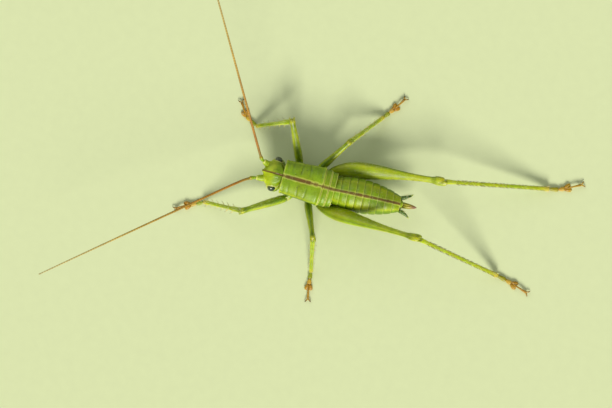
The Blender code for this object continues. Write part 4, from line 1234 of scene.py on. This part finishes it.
def bowed(share, bow):
    """How far a limb's middle line rises over the straight line between its joints."""
    return bow * np.sin(math.pi * share ** 0.6)


def limb_grid(length, radii, reach, bow=0.0, narrow=1.0, columns=40, per_length=9, outline=None):
    """A limb along +X with domed ends that reach past both joints; outline is a radial factor.

    It comes with each point's share of the length and its angle from the limb's top.
    """
    x = np.linspace(-reach[0], length + reach[1], int((length + sum(reach)) * per_length) + 14)
    caps = 1 - np.cos(np.linspace(0.12, math.pi / 2, LIMB_CAP))
    x = np.concatenate([-reach[0] + caps * reach[0], x[(x > 0) & (x < length)],
                        length + reach[1] - caps[::-1] * reach[1]])
    f = np.clip(x / length, 0, 1)
    radius = along(radii, f)[:, 0]
    before, after = x < 0, x > length
    radius[before] *= np.sqrt(np.clip(1 - (x[before] / reach[0]) ** 2, 0.004, 1))
    radius[after] *= np.sqrt(np.clip(1 - ((x[after] - length) / reach[1]) ** 2, 0.004, 1))
    angles = round_angles(columns)
    across, up = oval(angles)
    angle = folded(angles)[None, :]
    r = radius[:, None] * (outline(angle) if outline else 1.0)
    y = r * across * narrow
    z = r * up + bowed(f, bow)[:, None]
    whole = np.ones_like(y)
    return np.stack([x[:, None] * whole, y, z], axis=-1), f[:, None] * whole, angle * whole


def thigh_outline(angle):
    """Two low keels above and two below, with a furrow between the lower ones for the folded shin."""
    return 1 + 0.03 * hump(angle, 32, 9) + 0.05 * hump(angle, 152, 9) - 0.1 * hump(angle, 180, 14) \
        - 0.03 * hump(angle, 90, 25)


def shin_outline(angle):
    """Four blunt edges, which carry the spines."""
    return 1 + 0.06 * hump(angle, 45, 14) + 0.06 * hump(angle, 135, 14) - 0.05 * hump(angle, 0, 20) \
        - 0.05 * hump(angle, 90, 22) - 0.05 * hump(angle, 180, 20)


# Rows of spines on each side of a leg: limb, edge in degrees from its top, first and last share along it,
# how many, length in mm, how far they lean on towards the foot, and their kind.
THIGH_ROW = ("femur", 150, 0.45, 0.9, 5, 0.2, 0.8, "spinule")
SHIN_SPUR = ("tibia", 125, 0.985, 0.985, 1, 0.5, 1.4, "spur")
SPINE_ROWS = {
    "fore": (("tibia", 132, 0.24, 0.93, 6, 0.92, 0.75, "slender"), SHIN_SPUR, THIGH_ROW),
    "mid": (("tibia", 132, 0.24, 0.93, 6, 0.7, 0.75, "slender"),
            ("tibia", 45, 0.3, 0.74, 3, 0.45, 0.9, "slender"), SHIN_SPUR, THIGH_ROW),
    "hind": (("tibia", 42, 0.13, 0.95, 24, 0.46, 1.0, "spinule"),
             ("tibia", 138, 0.4, 0.93, 9, 0.34, 0.9, "spinule"),
             ("tibia", 50, 0.985, 0.985, 1, 0.75, 1.5, "spur"),
             ("tibia", 118, 0.985, 0.985, 1, 0.85, 1.7, "spur"),
             ("tibia", 160, 0.985, 0.985, 1, 0.6, 1.7, "spur"),
             ("femur", 150, 0.5, 0.92, 8, 0.24, 0.8, "spinule")),
}


def spine_shares(first, last, count):
    """Places along a limb, not quite evenly spaced."""
    return np.linspace(first, last, count) + 0.006 * np.sin(2.4 * np.arange(count))


def spine_sockets(kind, limb, length, f, angle):
    """1 in the tanned ring round each spine's foot."""
    mark = np.zeros_like(f)
    for part, edge, first, last, count, size, *_ in SPINE_ROWS[kind]:
        if part == limb and count > 1:
            for share in spine_shares(first, last, count):
                ring = hump(f, share + 0.02 / length, (0.05 + 0.08 * size) / length)
                mark = np.maximum(mark, ring * hump(angle, edge, 7 + 8 * size))
    return mark


def build_coxa(name, pose, size):
    """The hip, a stout joint with a pale furrow on each side; a fore hip also carries a spine."""
    socket = np.array(pose["socket"])
    way = np.array(pose["hip"]) - socket
    length = float(np.linalg.norm(way))
    way = way / length
    heading = math.degrees(math.atan2(way[1], way[0]))
    at = ANIMAL @ placed(socket, heading, math.degrees(math.asin(way[2])))
    thick = size["coxa"]
    grid, f, angle = limb_grid(length, ((0.0, thick), (0.5, thick * 1.04), (1.0, thick * 0.74)),
                               (0.15, 0.25), columns=44, per_length=18)
    groove = hump(angle, 96, 7) * smooth(0.15, 0.4, f)
    grid[..., 1] *= 1 - 0.1 * groove
    colour = mixed(mixed(MOSS, LEAF, 0.5 + 0.5 * f), PALE_LIME, 0.6 * smooth(0.82, 0.97, f))
    colour = mixed(colour, CREAM, 0.7 * groove)
    # Painted shade on the hip's underside next to the body.
    colour = mixed(colour, DEEP, 0.3 * hump(angle, 130, 22) * (1 - f))
    made = [loft(grid, at, freckled(colour, 0.6), fuzz=0.8)]
    if name.startswith("fore"):
        t = np.linspace(0, 1, 12)
        outwards = 1 if pose["hip"][1] > 0 else -1
        path = np.stack([0.9 * length + 0.1 * t, outwards * -0.1 * t, 0.3 + 0.62 * t], axis=-1)
        horn = tube_grid(path, 0.13 * (1 - t) ** 0.8 + 0.012, 12)
        made.append(loft(horn, at, mixed(LEAF, CREAM, smooth(0.1, 0.5, t))[:, None, :]))
    return made


def build_knee_lobes(at, size, length, kind):
    """The flat oval lobes at the thigh's end that hold the shin's hinge, each with a small dark pivot."""
    scale = size["femur_radii"][-1][1]
    made = []
    for sign in SIDES.values():
        middle = np.array((length + 0.06, sign * scale * size["narrow"] * 0.68, -0.22 * scale))
        reach = np.array((1.08, 0.24, 0.66)) * scale
        grid = bead(middle, reach, rows=24, columns=36)
        d = (grid - middle) / reach
        edge = smooth(0.72, 0.95, np.hypot(d[..., 0], d[..., 2]))
        pivot = smooth(0.2, 0.1, np.hypot(d[..., 0] - 0.15, d[..., 2] - 0.2))
        colour = mixed(mixed(LEAF, LIME, 0.4), STRAW, 0.35 * smooth(-0.4, 0.9, d[..., 0]))
        colour = mixed(colour, DEEP, 0.3 * edge)
        colour = mixed(colour, UMBER if kind == "hind" else RUST, 0.75 * pivot)
        made.append(loft(grid, at, freckled(colour, 0.4), fuzz=0.5))
    return made


def hind_thigh_colours(x, f, angle):
    """Slanting muscle bands show through the swollen flank and meet on its middle line."""
    top = hump(angle, 0, 18)
    bands = np.sin(math.tau * (x / 0.62 - np.abs(angle - 88) / 46)) ** 2
    flank = hump(angle, 90, 38) * (1 - smooth(0.5, 0.66, f)) * smooth(0.03, 0.1, f)
    colour = mixed(mixed(LEAF, LIME, 0.5), DEEP, 0.3 * flank * bands)
    colour = mixed(colour, LIME, 0.35 * flank * (1 - bands))
    colour = mixed(colour, DEEP, 0.3 * line_at(angle, 88, 2, 5) * flank)
    colour = mixed(colour, DEEP, 0.5 * top)
    colour = mixed(colour, LIME, 0.5 * hump(angle, 42, 13))
    colour = mixed(colour, LIME, 0.5 * smooth(0.55, 0.75, f) * (1 - top))
    # Painted highlight: a pale line along the lower flank, fainter over the muscle bands.
    colour = mixed(colour, PALE_LIME, 0.6 * hump(angle, 122, 6) * (1 - 0.6 * flank))
    return mixed(colour, PALE_LIME, 0.5 * hump(angle, 152, 7))


def front_thigh_colours(f, angle):
    """Streaks along the thighs of the fore and middle legs: dark on top and flank, lime between, and a pale
    line low on the flank that is a painted highlight.
    """
    colour = mixed(mixed(MOSS, LEAF, 0.7), LIME, 0.3 * smooth(0.2, 0.6, f))
    colour = mixed(colour, DEEP, 0.42 * hump(angle, 0, 16))
    colour = mixed(colour, LIME, 0.75 * hump(angle, 48, 17) * smooth(0.02, 0.12, f))
    colour = mixed(colour, DEEP, 0.45 * hump(angle, 88, 11))
    # Painted highlight: a pale line along the lower flank.
    colour = mixed(colour, PALE_LIME, 0.6 * hump(angle, 118, 7) * smooth(0.06, 0.2, f))
    return mixed(colour, PALE_LIME, 0.4 * hump(angle, 152, 8))


def build_femur(kind, at, size):
    """The thigh, with the lobes that hold the shin and the small joint at the hip."""
    length = size["femur"]
    end = size["femur_radii"][-1][1]
    grid, f, angle = limb_grid(length, size["femur_radii"], (0.3, 0.75 * end), size["bow"],
                               size["narrow"] * 0.98, columns=48, outline=thigh_outline,
                               per_length=7 if kind == "hind" else 10)
    if kind == "hind":
        colour = hind_thigh_colours(grid[..., 0], f, angle)
    else:
        colour = front_thigh_colours(f, angle)
    colour = mixed(colour, DEEP, 0.4 * hump(f, 0.93, 0.03))
    colour = mixed(colour, STRAW, 0.3 * smooth(0.96, 1.0, f))
    colour = mixed(colour, UMBER, 0.8 * spine_sockets(kind, "femur", length, f, angle))
    thigh = loft(grid, at, freckled(colour, 0.4 + 0.6 * hump(angle, 0, 50)), fuzz=1.0)
    joint = bead((-0.12, 0, -0.05), (0.36, 0.4 * size["narrow"] + 0.05, 0.42), rows=16, columns=28)
    shade = mixed(mixed(LEAF, STRAW, 0.35), DEEP, 0.35 * hump(joint[..., 0], 0.12, 0.06))
    return [thigh, *build_knee_lobes(at, size, length, kind), loft(joint, at, shade, fuzz=0.6)]


def knee_and_ankle(pose, size):
    """Where a leg's knee and ankle are, and how steeply the shin drops, which sets the ankle's height."""
    knee = np.array(pose["hip"]) + direction(*pose["femur"]) * size["femur"]
    drop = math.degrees(math.asin((knee[2] - ANKLE_HEIGHT) / size["tibia"]))
    ankle = knee + direction(pose["tibia"], -drop) * size["tibia"]
    return knee, drop, ankle


def build_tibia(kind, at, size):
    """The four-edged shin, with tanned rings round its spines and, on a fore leg, the ear's slits."""
    length = size["tibia"]
    hind = kind == "hind"
    grid, f, angle = limb_grid(length, size["tibia_radii"], (0.3, 0.14), narrow=SHIN_NARROW, columns=40,
                               outline=shin_outline, per_length=8 if hind else 12)
    colour = mixed(mixed(LEAF, LIME, 0.85 if hind else 0.5), MOSS,
                   0.5 * hump(angle, 92, 14) + 0.35 * hump(angle, 0, 14))
    colour = mixed(colour, PALE_LIME, 0.4 * hump(angle, 45, 9) + 0.3 * hump(angle, 135, 9))
    colour = mixed(colour, STRAW, 0.5 * smooth(0.8, 1.0, f))
    colour = mixed(colour, DEEP, 0.4 * hump(f, 0.03 if hind else 0.045, 0.02))
    colour = mixed(colour, hue("#D3C83E"), 0.7 * (1 - smooth(0.0, 0.02, f)))
    colour = mixed(colour, AMBER, 0.35 * smooth(0.93, 1.0, f))
    colour = mixed(colour, UMBER if hind else RUST, 0.8 * spine_sockets(kind, "tibia", length, f, angle))
    if kind == "fore":
        # The ear: an oval slit on each face of the swelling below the knee.
        slit = np.exp(-((grid[..., 0] - 0.72) / 0.3) ** 4 - ((angle - 84) / 24) ** 4)
        grid[..., 1] *= 1 - 0.26 * slit
        colour = mixed(colour, STRAW, 0.8 * smooth(0.15, 0.5, slit))
        colour = mixed(colour, UMBER, 0.8 * line_at(angle, 84, 3, 5) * smooth(0.6, 0.9, slit))
    return [loft(grid, at, freckled(colour, 0.5 * hump(angle, 0, 60)), fuzz=1.25)]


def toe_grid(length, stations, rows=22):
    """A foot's joint along +X, flat where it meets the floor; stations are share, half width, low and top."""
    f = np.linspace(0, 1, rows)
    half_width, low, high = along(stations, f).T
    ends = rounded_ends(f, 0.51, 9, 0.02)
    across, up = oval(round_angles(28), 2.2)
    y = (half_width * ends)[:, None] * across
    z = ((low + high) / 2)[:, None] + ((high - low) / 2 * ends)[:, None] * up
    share = f[:, None] * np.ones_like(y)
    return np.stack([share * length, y, np.maximum(z, 0.0)], axis=-1), share


def padded_joints(kind, point, pose, lengths):
    """The foot's first two joints with their pale pads, and the place where they end."""
    looks = (
        (((0.0, 0.17, 0.16, 0.6), (0.25, 0.2, 0.05, 0.5), (0.7, 0.28, 0.0, 0.46), (1.0, 0.27, 0.02, 0.42)),
         mixed(AMBER, LEAF, 0.55 if kind == "hind" else 0.75)),
        (((0.0, 0.15, 0.1, 0.42), (0.5, 0.27, 0.0, 0.42), (1.0, 0.29, 0.02, 0.4)),
         mixed(AMBER, STRAW, 0.35)),
    )
    overlap = 1.04
    made = []
    for (stations, shade), heading, length in zip(looks, pose["toes"], lengths):
        grid, share = toe_grid(length * overlap, stations)
        share = share * overlap
        z = grid[..., 2]
        grid[..., 1] *= 1 - 0.25 * hump(share, 0.1, 0.12)
        colour = mixed(shade, CREAM, 0.8 * (1 - smooth(0.03, 0.13, z)))
        colour = mixed(colour, RUST, 0.45 * smooth(0.85, 1.0, share))
        made.append(loft(grid, ANIMAL @ placed(point, heading), colour, finish=TOES, fuzz=0.9))
        point = point + direction(heading, 0) * length
    return made, point


TOE_BROWN = mixed(AMBER, hue("#A87C2E"), 0.4)


def heart_joint(point, heading, length):
    """The foot's broad third joint: two padded lobes that spread like a heart."""
    stations = ((0.0, 0.14, 0.1, 0.38), (0.35, 0.23, 0.0, 0.41), (0.72, 0.26, 0.0, 0.37),
                (1.0, 0.17, 0.03, 0.24))
    made = []
    for sign in SIDES.values():
        grid, share = toe_grid(length * 1.1, stations, rows=28)
        grid[..., 1] += sign * 0.11
        colour = mixed(TOE_BROWN, CREAM, 0.85 * (1 - smooth(0.03, 0.15, grid[..., 2])))
        colour = mixed(colour, RUST, 0.4 * hump(share, 0.1, 0.1))
        at = ANIMAL @ placed(point, heading + sign * 17)
        made.append(loft(grid, at, colour, finish=TOES, fuzz=0.9))
    return made


def claw_joint(kind, point, pose, lengths):
    """The foot's slender last joint, which rises from between the lobes, and its two hooked claws."""
    start = point + direction(pose["toes"][2], 0) * 0.22
    after = point + direction(pose["toes"][2], 0) * lengths[2]
    heading = pose["toes"][3]
    way = direction(heading, 0) * lengths[3]
    end = after + way
    path = smooth_path([start + (0, 0, 0.3), after + (0, 0, 0.42), after + way * 0.5 + (0, 0, 0.42),
                        end + (0, 0, 0.27)], 28)
    f = np.linspace(0, 1, len(path))
    radii = along(((0, 0.09), (0.3, 0.1), (0.6, 0.12), (0.9, 0.17), (1.0, 0.14)), f)[:, 0]
    radii *= rounded_ends(f, 0.51, 12, 0.05)
    shade = mixed(TOE_BROWN, UMBER, 0.2 * f if kind == "hind" else 0.5 * smooth(0.6, 1.0, f))
    made = [loft(tube_grid(path, radii, 18), ANIMAL, shade[:, None, :], finish=TOES, fuzz=0.7)]
    for sign in SIDES.values():
        path = smooth_path([(-0.06, sign * 0.05, 0.27), (0.12, sign * 0.2, 0.3), (0.28, sign * 0.34, 0.2),
                            (0.34, sign * 0.4, 0.045)], 18)
        f = np.linspace(0, 1, len(path))
        radii = along(((0, 0.075), (0.3, 0.085), (0.7, 0.05), (1.0, 0.012)), f)[:, 0]
        shade = mixed(AMBER, RUST if kind == "hind" else UMBER, smooth(0.1, 0.6, f))
        hook = tube_grid(path, radii, 12)
        made.append(loft(hook, ANIMAL @ placed(end, heading), shade[:, None, :], finish=CLAWS))
    return made


def build_foot(kind, ankle, pose, size):
    """Four toe joints: two padded ones, a broad heart-shaped third and a slender last one with two claws."""
    lengths = size["toes"]
    made, point = padded_joints(kind, np.array((ankle[0], ankle[1], 0.0)), pose, lengths)
    made += heart_joint(point, pose["toes"][2], lengths[2])
    return made + claw_joint(kind, point, pose, lengths)


def build_legs():
    """The six legs, each one skin from hip to claws; returns the frames of their thighs and shins."""
    frames = {}
    for name, pose in LEGS.items():
        kind = name.split("_")[0]
        size = LEG_SIZES[kind]
        knee, drop, ankle = knee_and_ankle(pose, size)
        thigh_at = ANIMAL @ placed(pose["hip"], *pose["femur"], pose["lean"])
        shin_at = ANIMAL @ placed(knee, pose["tibia"], -drop)
        surfaces = build_coxa(name, pose, size) + build_femur(kind, thigh_at, size)
        surfaces += build_tibia(kind, shin_at, size) + build_foot(kind, ankle, pose, size)
        nodes = [f"{name}_{part}" for part in ("coxa", "femur", "tibia", "foot")]
        make_piece(f"leg_{name}", surfaces, [LEG, FOOT, HARD], nodes)
        frames[name] = {"femur": thigh_at, "tibia": shin_at}
    return frames


# ---------------------------------------------------------------- spines
def thorn_tree():
    """Sets a thorn on every point, turned to the point's aim and as long as its size says."""
    tree, given = new_tree("thorns_on_points", ("Slenderness", "Bend"))
    aim = add(tree, "GeometryNodeInputNamedAttribute", {"data_type": "FLOAT_VECTOR"}, Name="aim")
    lie = add(tree, "GeometryNodeInputNamedAttribute", {"data_type": "FLOAT_VECTOR"}, Name="lie")
    size = add(tree, "GeometryNodeInputNamedAttribute", {"data_type": "FLOAT"}, Name="size")
    return set_on_points(tree, given, given["Geometry"], aim, lie, size, sides=6, rings=5, top=0.004)


ROOT_DEPTH = 0.96  # a spine stands just inside the skin, at this share of the limb's radius


def spines_along(at, length, radii, angle, shares, sizes, narrow, flop, bow):
    """Root, aim, lie and size of each spine along a limb's edge, at an angle from its top."""
    a = math.radians(angle)
    out = np.array((0.0, math.sin(a), math.cos(a)))
    aim = at[:3, :3] @ unit(out + np.array((flop, 0, 0)))
    rows = []
    for share, size in zip(shares, sizes):
        radius = ROOT_DEPTH * float(along(radii, [share])[0, 0])
        middle = np.array((length * share, 0, bowed(share, bow)))
        rows.append((through(at, middle + radius * out * (0, narrow, 1)), aim, at[:3, 0], size))
    return rows


def plant_spines(name, rows, tree, material, slenderness, bend):
    """Makes one piece of the spines whose roots, aims, lies and sizes are given."""
    roots, aims, lies, sizes = (np.array(column) for column in zip(*rows))
    mesh = bpy.data.meshes.new(name + "_roots")
    mesh.from_pydata((roots * MM).tolist(), [], [])
    store(mesh, "aim", "FLOAT_VECTOR", aims)
    store(mesh, "lie", "FLOAT_VECTOR", lies)
    store(mesh, "size", "FLOAT", sizes * MM)
    made = grown(name, mesh, tree, Slenderness=slenderness, Bend=bend, Material=material)
    made.shade_smooth()
    show(name, made)


def build_spines(frames):
    """Rows of spines on the shins and thighs, as many and as long as the species has."""
    draw = np.random.default_rng(7)
    groups = {"slender": [], "spinule": [], "spur": []}
    for name, frame_of in frames.items():
        kind = name.split("_")[0]
        size = LEG_SIZES[kind]
        for limb, edge, first, last, count, long, flop, group in SPINE_ROWS[kind]:
            narrow, bow = (size["narrow"], size["bow"]) if limb == "femur" else (SHIN_NARROW, 0.0)
            shares = spine_shares(first, last, count)
            for sign in SIDES.values():
                lengths = long * draw.uniform(0.85, 1.1, count) * (1.15 - 0.35 * shares)
                groups[group] += spines_along(frame_of[limb], size[limb], size[limb + "_radii"],
                                              sign * edge, shares, lengths, narrow, flop, bow)
    tree = thorn_tree()
    plant_spines("shin_spines", groups["slender"], tree, SPINE, 0.075, 0.22)
    plant_spines("leg_spinules", groups["spinule"], tree, SPINULE, 0.13, 0.2)
    plant_spines("shin_spurs", groups["spur"], tree, SPUR, 0.1, 0.15)


# ---------------------------------------------------------------- hairs
HAIR_SIDES, HAIR_RINGS = 3, 2
HAIR_POINTS = HAIR_SIDES * HAIR_RINGS + 1  # the rings and the tip
HAIR_PATCH = 0.003  # side of each hair's own patch on the bake map


def hair_tree():
    """Scatters fine hairs over a skin, leaning along its lie, thickest where its fuzz is highest."""
    tree, given = new_tree("fine_hairs", ("Density", "Length", "Slenderness", "Stand", "Bend"), ("Seed",))
    fuzz = add(tree, "GeometryNodeInputNamedAttribute", {"data_type": "FLOAT"}, Name="fuzz")
    density = add(tree, "ShaderNodeMath", {"operation": "MULTIPLY"}, Value=given["Density"], Value_001=fuzz)
    roots = add(tree, "GeometryNodeDistributePointsOnFaces", Mesh=given["Geometry"], Density=density,
                Seed=given["Seed"])
    lie = add(tree, "GeometryNodeInputNamedAttribute", {"data_type": "FLOAT_VECTOR"}, Name="lie")
    tousle = add(tree, "FunctionNodeRandomValue", {"data_type": "FLOAT_VECTOR"}, Min=(-0.22,) * 3,
                 Max=(0.22,) * 3, Seed=given["Seed"])
    up = add(tree, "ShaderNodeVectorMath", {"operation": "SCALE"}, Vector=roots.outputs["Normal"],
             Scale=given["Stand"])
    combed = add(tree, "ShaderNodeVectorMath", {"operation": "ADD"}, Vector=up, Vector_001=lie)
    aim = add(tree, "ShaderNodeVectorMath", {"operation": "ADD"}, Vector=combed, Vector_001=tousle)
    short = add(tree, "ShaderNodeMath", {"operation": "MULTIPLY"}, Value=given["Length"], Value_001=0.55)
    size = add(tree, "FunctionNodeRandomValue", {"data_type": "FLOAT"}, Min=short, Max=given["Length"],
               Seed=given["Seed"])
    return set_on_points(tree, given, roots.outputs["Points"], aim, lie, size, sides=HAIR_SIDES,
                         rings=HAIR_RINGS, top=0.0)


def lay_bake_map(mesh):
    """Gives each hair a small patch of the map OFBake at its root's place on the skin's unwrap."""
    count = len(mesh.vertices)
    roots = np.zeros(count * 2, np.float32)
    mesh.attributes["unwrap"].data.foreach_get("vector", roots)
    reach = np.zeros(count, np.float32)
    mesh.attributes["reach"].data.foreach_get("value", reach)
    around = (np.arange(count) % HAIR_POINTS % HAIR_SIDES) / 2.0
    place = roots.reshape(-1, 2) + HAIR_PATCH * (np.stack([around, reach], axis=-1) - 0.5)
    corners = np.zeros(len(mesh.loops), np.int32)
    mesh.loops.foreach_get("vertex_index", corners)
    mesh.attributes.remove(mesh.attributes["unwrap"])
    mesh.uv_layers.new(name="OFBake").data.foreach_set("uv", place[corners].astype(np.float32).ravel())


PER_SQUARE_MM = 1e6
# The skins with hairs: how many to a square mm at full fuzz, length in mm, and how much they stand up.
COATS = (
    ("leg_fore_left", 22, 0.3, 1.0), ("leg_fore_right", 22, 0.3, 1.0),
    ("leg_mid_left", 22, 0.28, 1.0), ("leg_mid_right", 22, 0.28, 1.0),
    ("leg_hind_left", 16, 0.28, 0.9), ("leg_hind_right", 16, 0.28, 0.9),
    ("body_skin", 10, 0.2, 0.8), ("head_capsule", 12, 0.14, 0.8), ("saddle_plate", 9, 0.14, 0.8),
    ("wing_bud_plates", 9, 0.14, 0.8), ("face_lobe", 14, 0.16, 1.0), ("palps_left", 40, 0.12, 1.0),
    ("palps_right", 40, 0.12, 1.0), ("cercus_cone_left", 30, 0.42, 1.6),
    ("cercus_cone_right", 30, 0.42, 1.6), ("feeler_base_left", 20, 0.14, 1.0),
    ("feeler_base_right", 20, 0.14, 1.0),
)


def build_hairs():
    """Fine hairs, one piece for each skin that carries them."""
    tree = hair_tree()
    for seed, (skin, density, length, stand) in enumerate(COATS):
        hairs = grown(f"hairs_of_{skin}", PIECES[skin].data.copy(), tree, Density=density * PER_SQUARE_MM,
                      Length=length * MM, Slenderness=0.045, Stand=stand, Bend=0.25, Seed=seed,
                      Material=HAIR)
        lay_bake_map(hairs)
        show(hairs.name, hairs)


# ---------------------------------------------------------------- the animal
make_piece("body_skin", build_abdomen() + build_thorax() + build_neck(), [GREEN, SOFT],
           ["abdomen", "thorax"])
make_piece("saddle_plate", build_pronotum(), [GREEN], ["pronotum"])
second = build_wing_plate(-0.2, -1.05, arcs=(0.45, 0.35), widths=(2.38, 2.32), crown=(5.74, 5.7),
                          hem=3.3, vein_phase=0.0)
third = build_wing_plate(-1.1, -1.95, arcs=(0.35, 0.2), widths=(2.3, 2.15), crown=(5.7, 5.66),
                         hem=3.5, vein_phase=0.9)
make_piece("wing_bud_plates", second + third, [GREEN], ["mesonotum", "metanotum"])
make_piece("head_capsule", build_head(), [GREEN], ["head"])
build_eyes()
build_face_lobe()
build_jaws()
build_underlip()
build_palps()
build_feelers()
build_egg_layer()
build_cerci()
build_spines(build_legs())
build_hairs()


# ---------------------------------------------------------------- floor, light and camera
def matte_floor():
    """Matt painted board: a pale leaf green without gloss, with a faint roller grain."""
    made, tree = new_material("matt_painted_board")
    place = add(tree, "ShaderNodeTexCoord").outputs["Object"]
    grain = add(tree, "ShaderNodeTexNoise", Vector=place, Scale=per_mm(1.2), Detail=3.0)
    shade = add(tree, "ShaderNodeMapRange", Value=grain, To_Min=0.97, To_Max=1.03)
    colour = add(tree, "ShaderNodeHueSaturation", Value=shade, Color=colour_of("#CFD8AA"))
    shader = add(tree, "ShaderNodeBsdfPrincipled", Base_Color=colour, Roughness=0.9,
                 Specular_IOR_Level=0.15)
    add(tree, "ShaderNodeOutputMaterial", Surface=shader)
    return made


def build_floor():
    """A square of board, wide enough to fill every view."""
    half = 600 * MM
    corners = [(-half, -half, 0), (half, -half, 0), (half, half, 0), (-half, half, 0)]
    mesh = bpy.data.meshes.new("floor")
    mesh.from_pydata(corners, [], [(0, 1, 2, 3)])
    mesh.materials.append(matte_floor())
    floor = bpy.data.objects.new("floor", mesh)
    bpy.context.scene.collection.objects.link(floor)


def distant_softbox(name, toward, spread, strength, colour):
    """A soft light so far off that the floor is lit evenly; it looks as wide as `spread` degrees."""
    data = bpy.data.lights.new(name, "SUN")
    data.angle = math.radians(spread)
    data.energy = strength
    data.color = colour
    lamp = bpy.data.objects.new(name, data)
    lamp.rotation_euler = (-Vector(toward)).to_track_quat("-Z", "Y").to_euler()
    bpy.context.scene.collection.objects.link(lamp)


def build_light():
    """A pale even sky, a warm window beyond the animal's left side and a faint cool fill opposite."""
    world = bpy.data.worlds.new("studio")
    bpy.context.scene.world = world
    world.use_nodes = True
    sky = world.node_tree.nodes["Background"]
    sky.inputs["Color"].default_value = colour_of("#F4F7EE")
    sky.inputs["Strength"].default_value = 0.36
    distant_softbox("window", (-0.22, 0.7, 0.53), 25, 3.8, (1.0, 0.97, 0.9))
    distant_softbox("fill", (0.66, -0.55, 0.66), 45, 0.6, (0.93, 0.98, 1.0))


FRAME_WIDTH, FRAME_TURN, LOOK_AT = 76.5, 15.5, (0.8, 2.5, 2.5)


def build_camera():
    """A long lens that looks straight down, its picture turned so that the head lies to the left."""
    data = bpy.data.cameras.new("camera")
    data.lens = 100.0
    data.sensor_width = 36.0
    camera = bpy.data.objects.new("camera", data)
    distance = FRAME_WIDTH * MM * data.lens / data.sensor_width
    turn = math.radians(FRAME_TURN)
    right = Vector((-math.cos(turn), -math.sin(turn), 0))
    up = Vector((math.sin(turn), -math.cos(turn), 0))
    target = (Vector(LOOK_AT) + Vector((*ORIGIN_SHIFT, 0))) * MM
    toward = Vector((0, 0, 1))
    facing = Matrix((right, up, toward)).transposed()
    camera.matrix_world = Matrix.Translation(target + toward * distance) @ facing.to_4x4()
    data.clip_start, data.clip_end = 0.01, 5.0
    bpy.context.scene.collection.objects.link(camera)
    bpy.context.scene.camera = camera


build_floor()
build_light()
build_camera()
bpy.context.scene.view_settings.view_transform = "Standard"
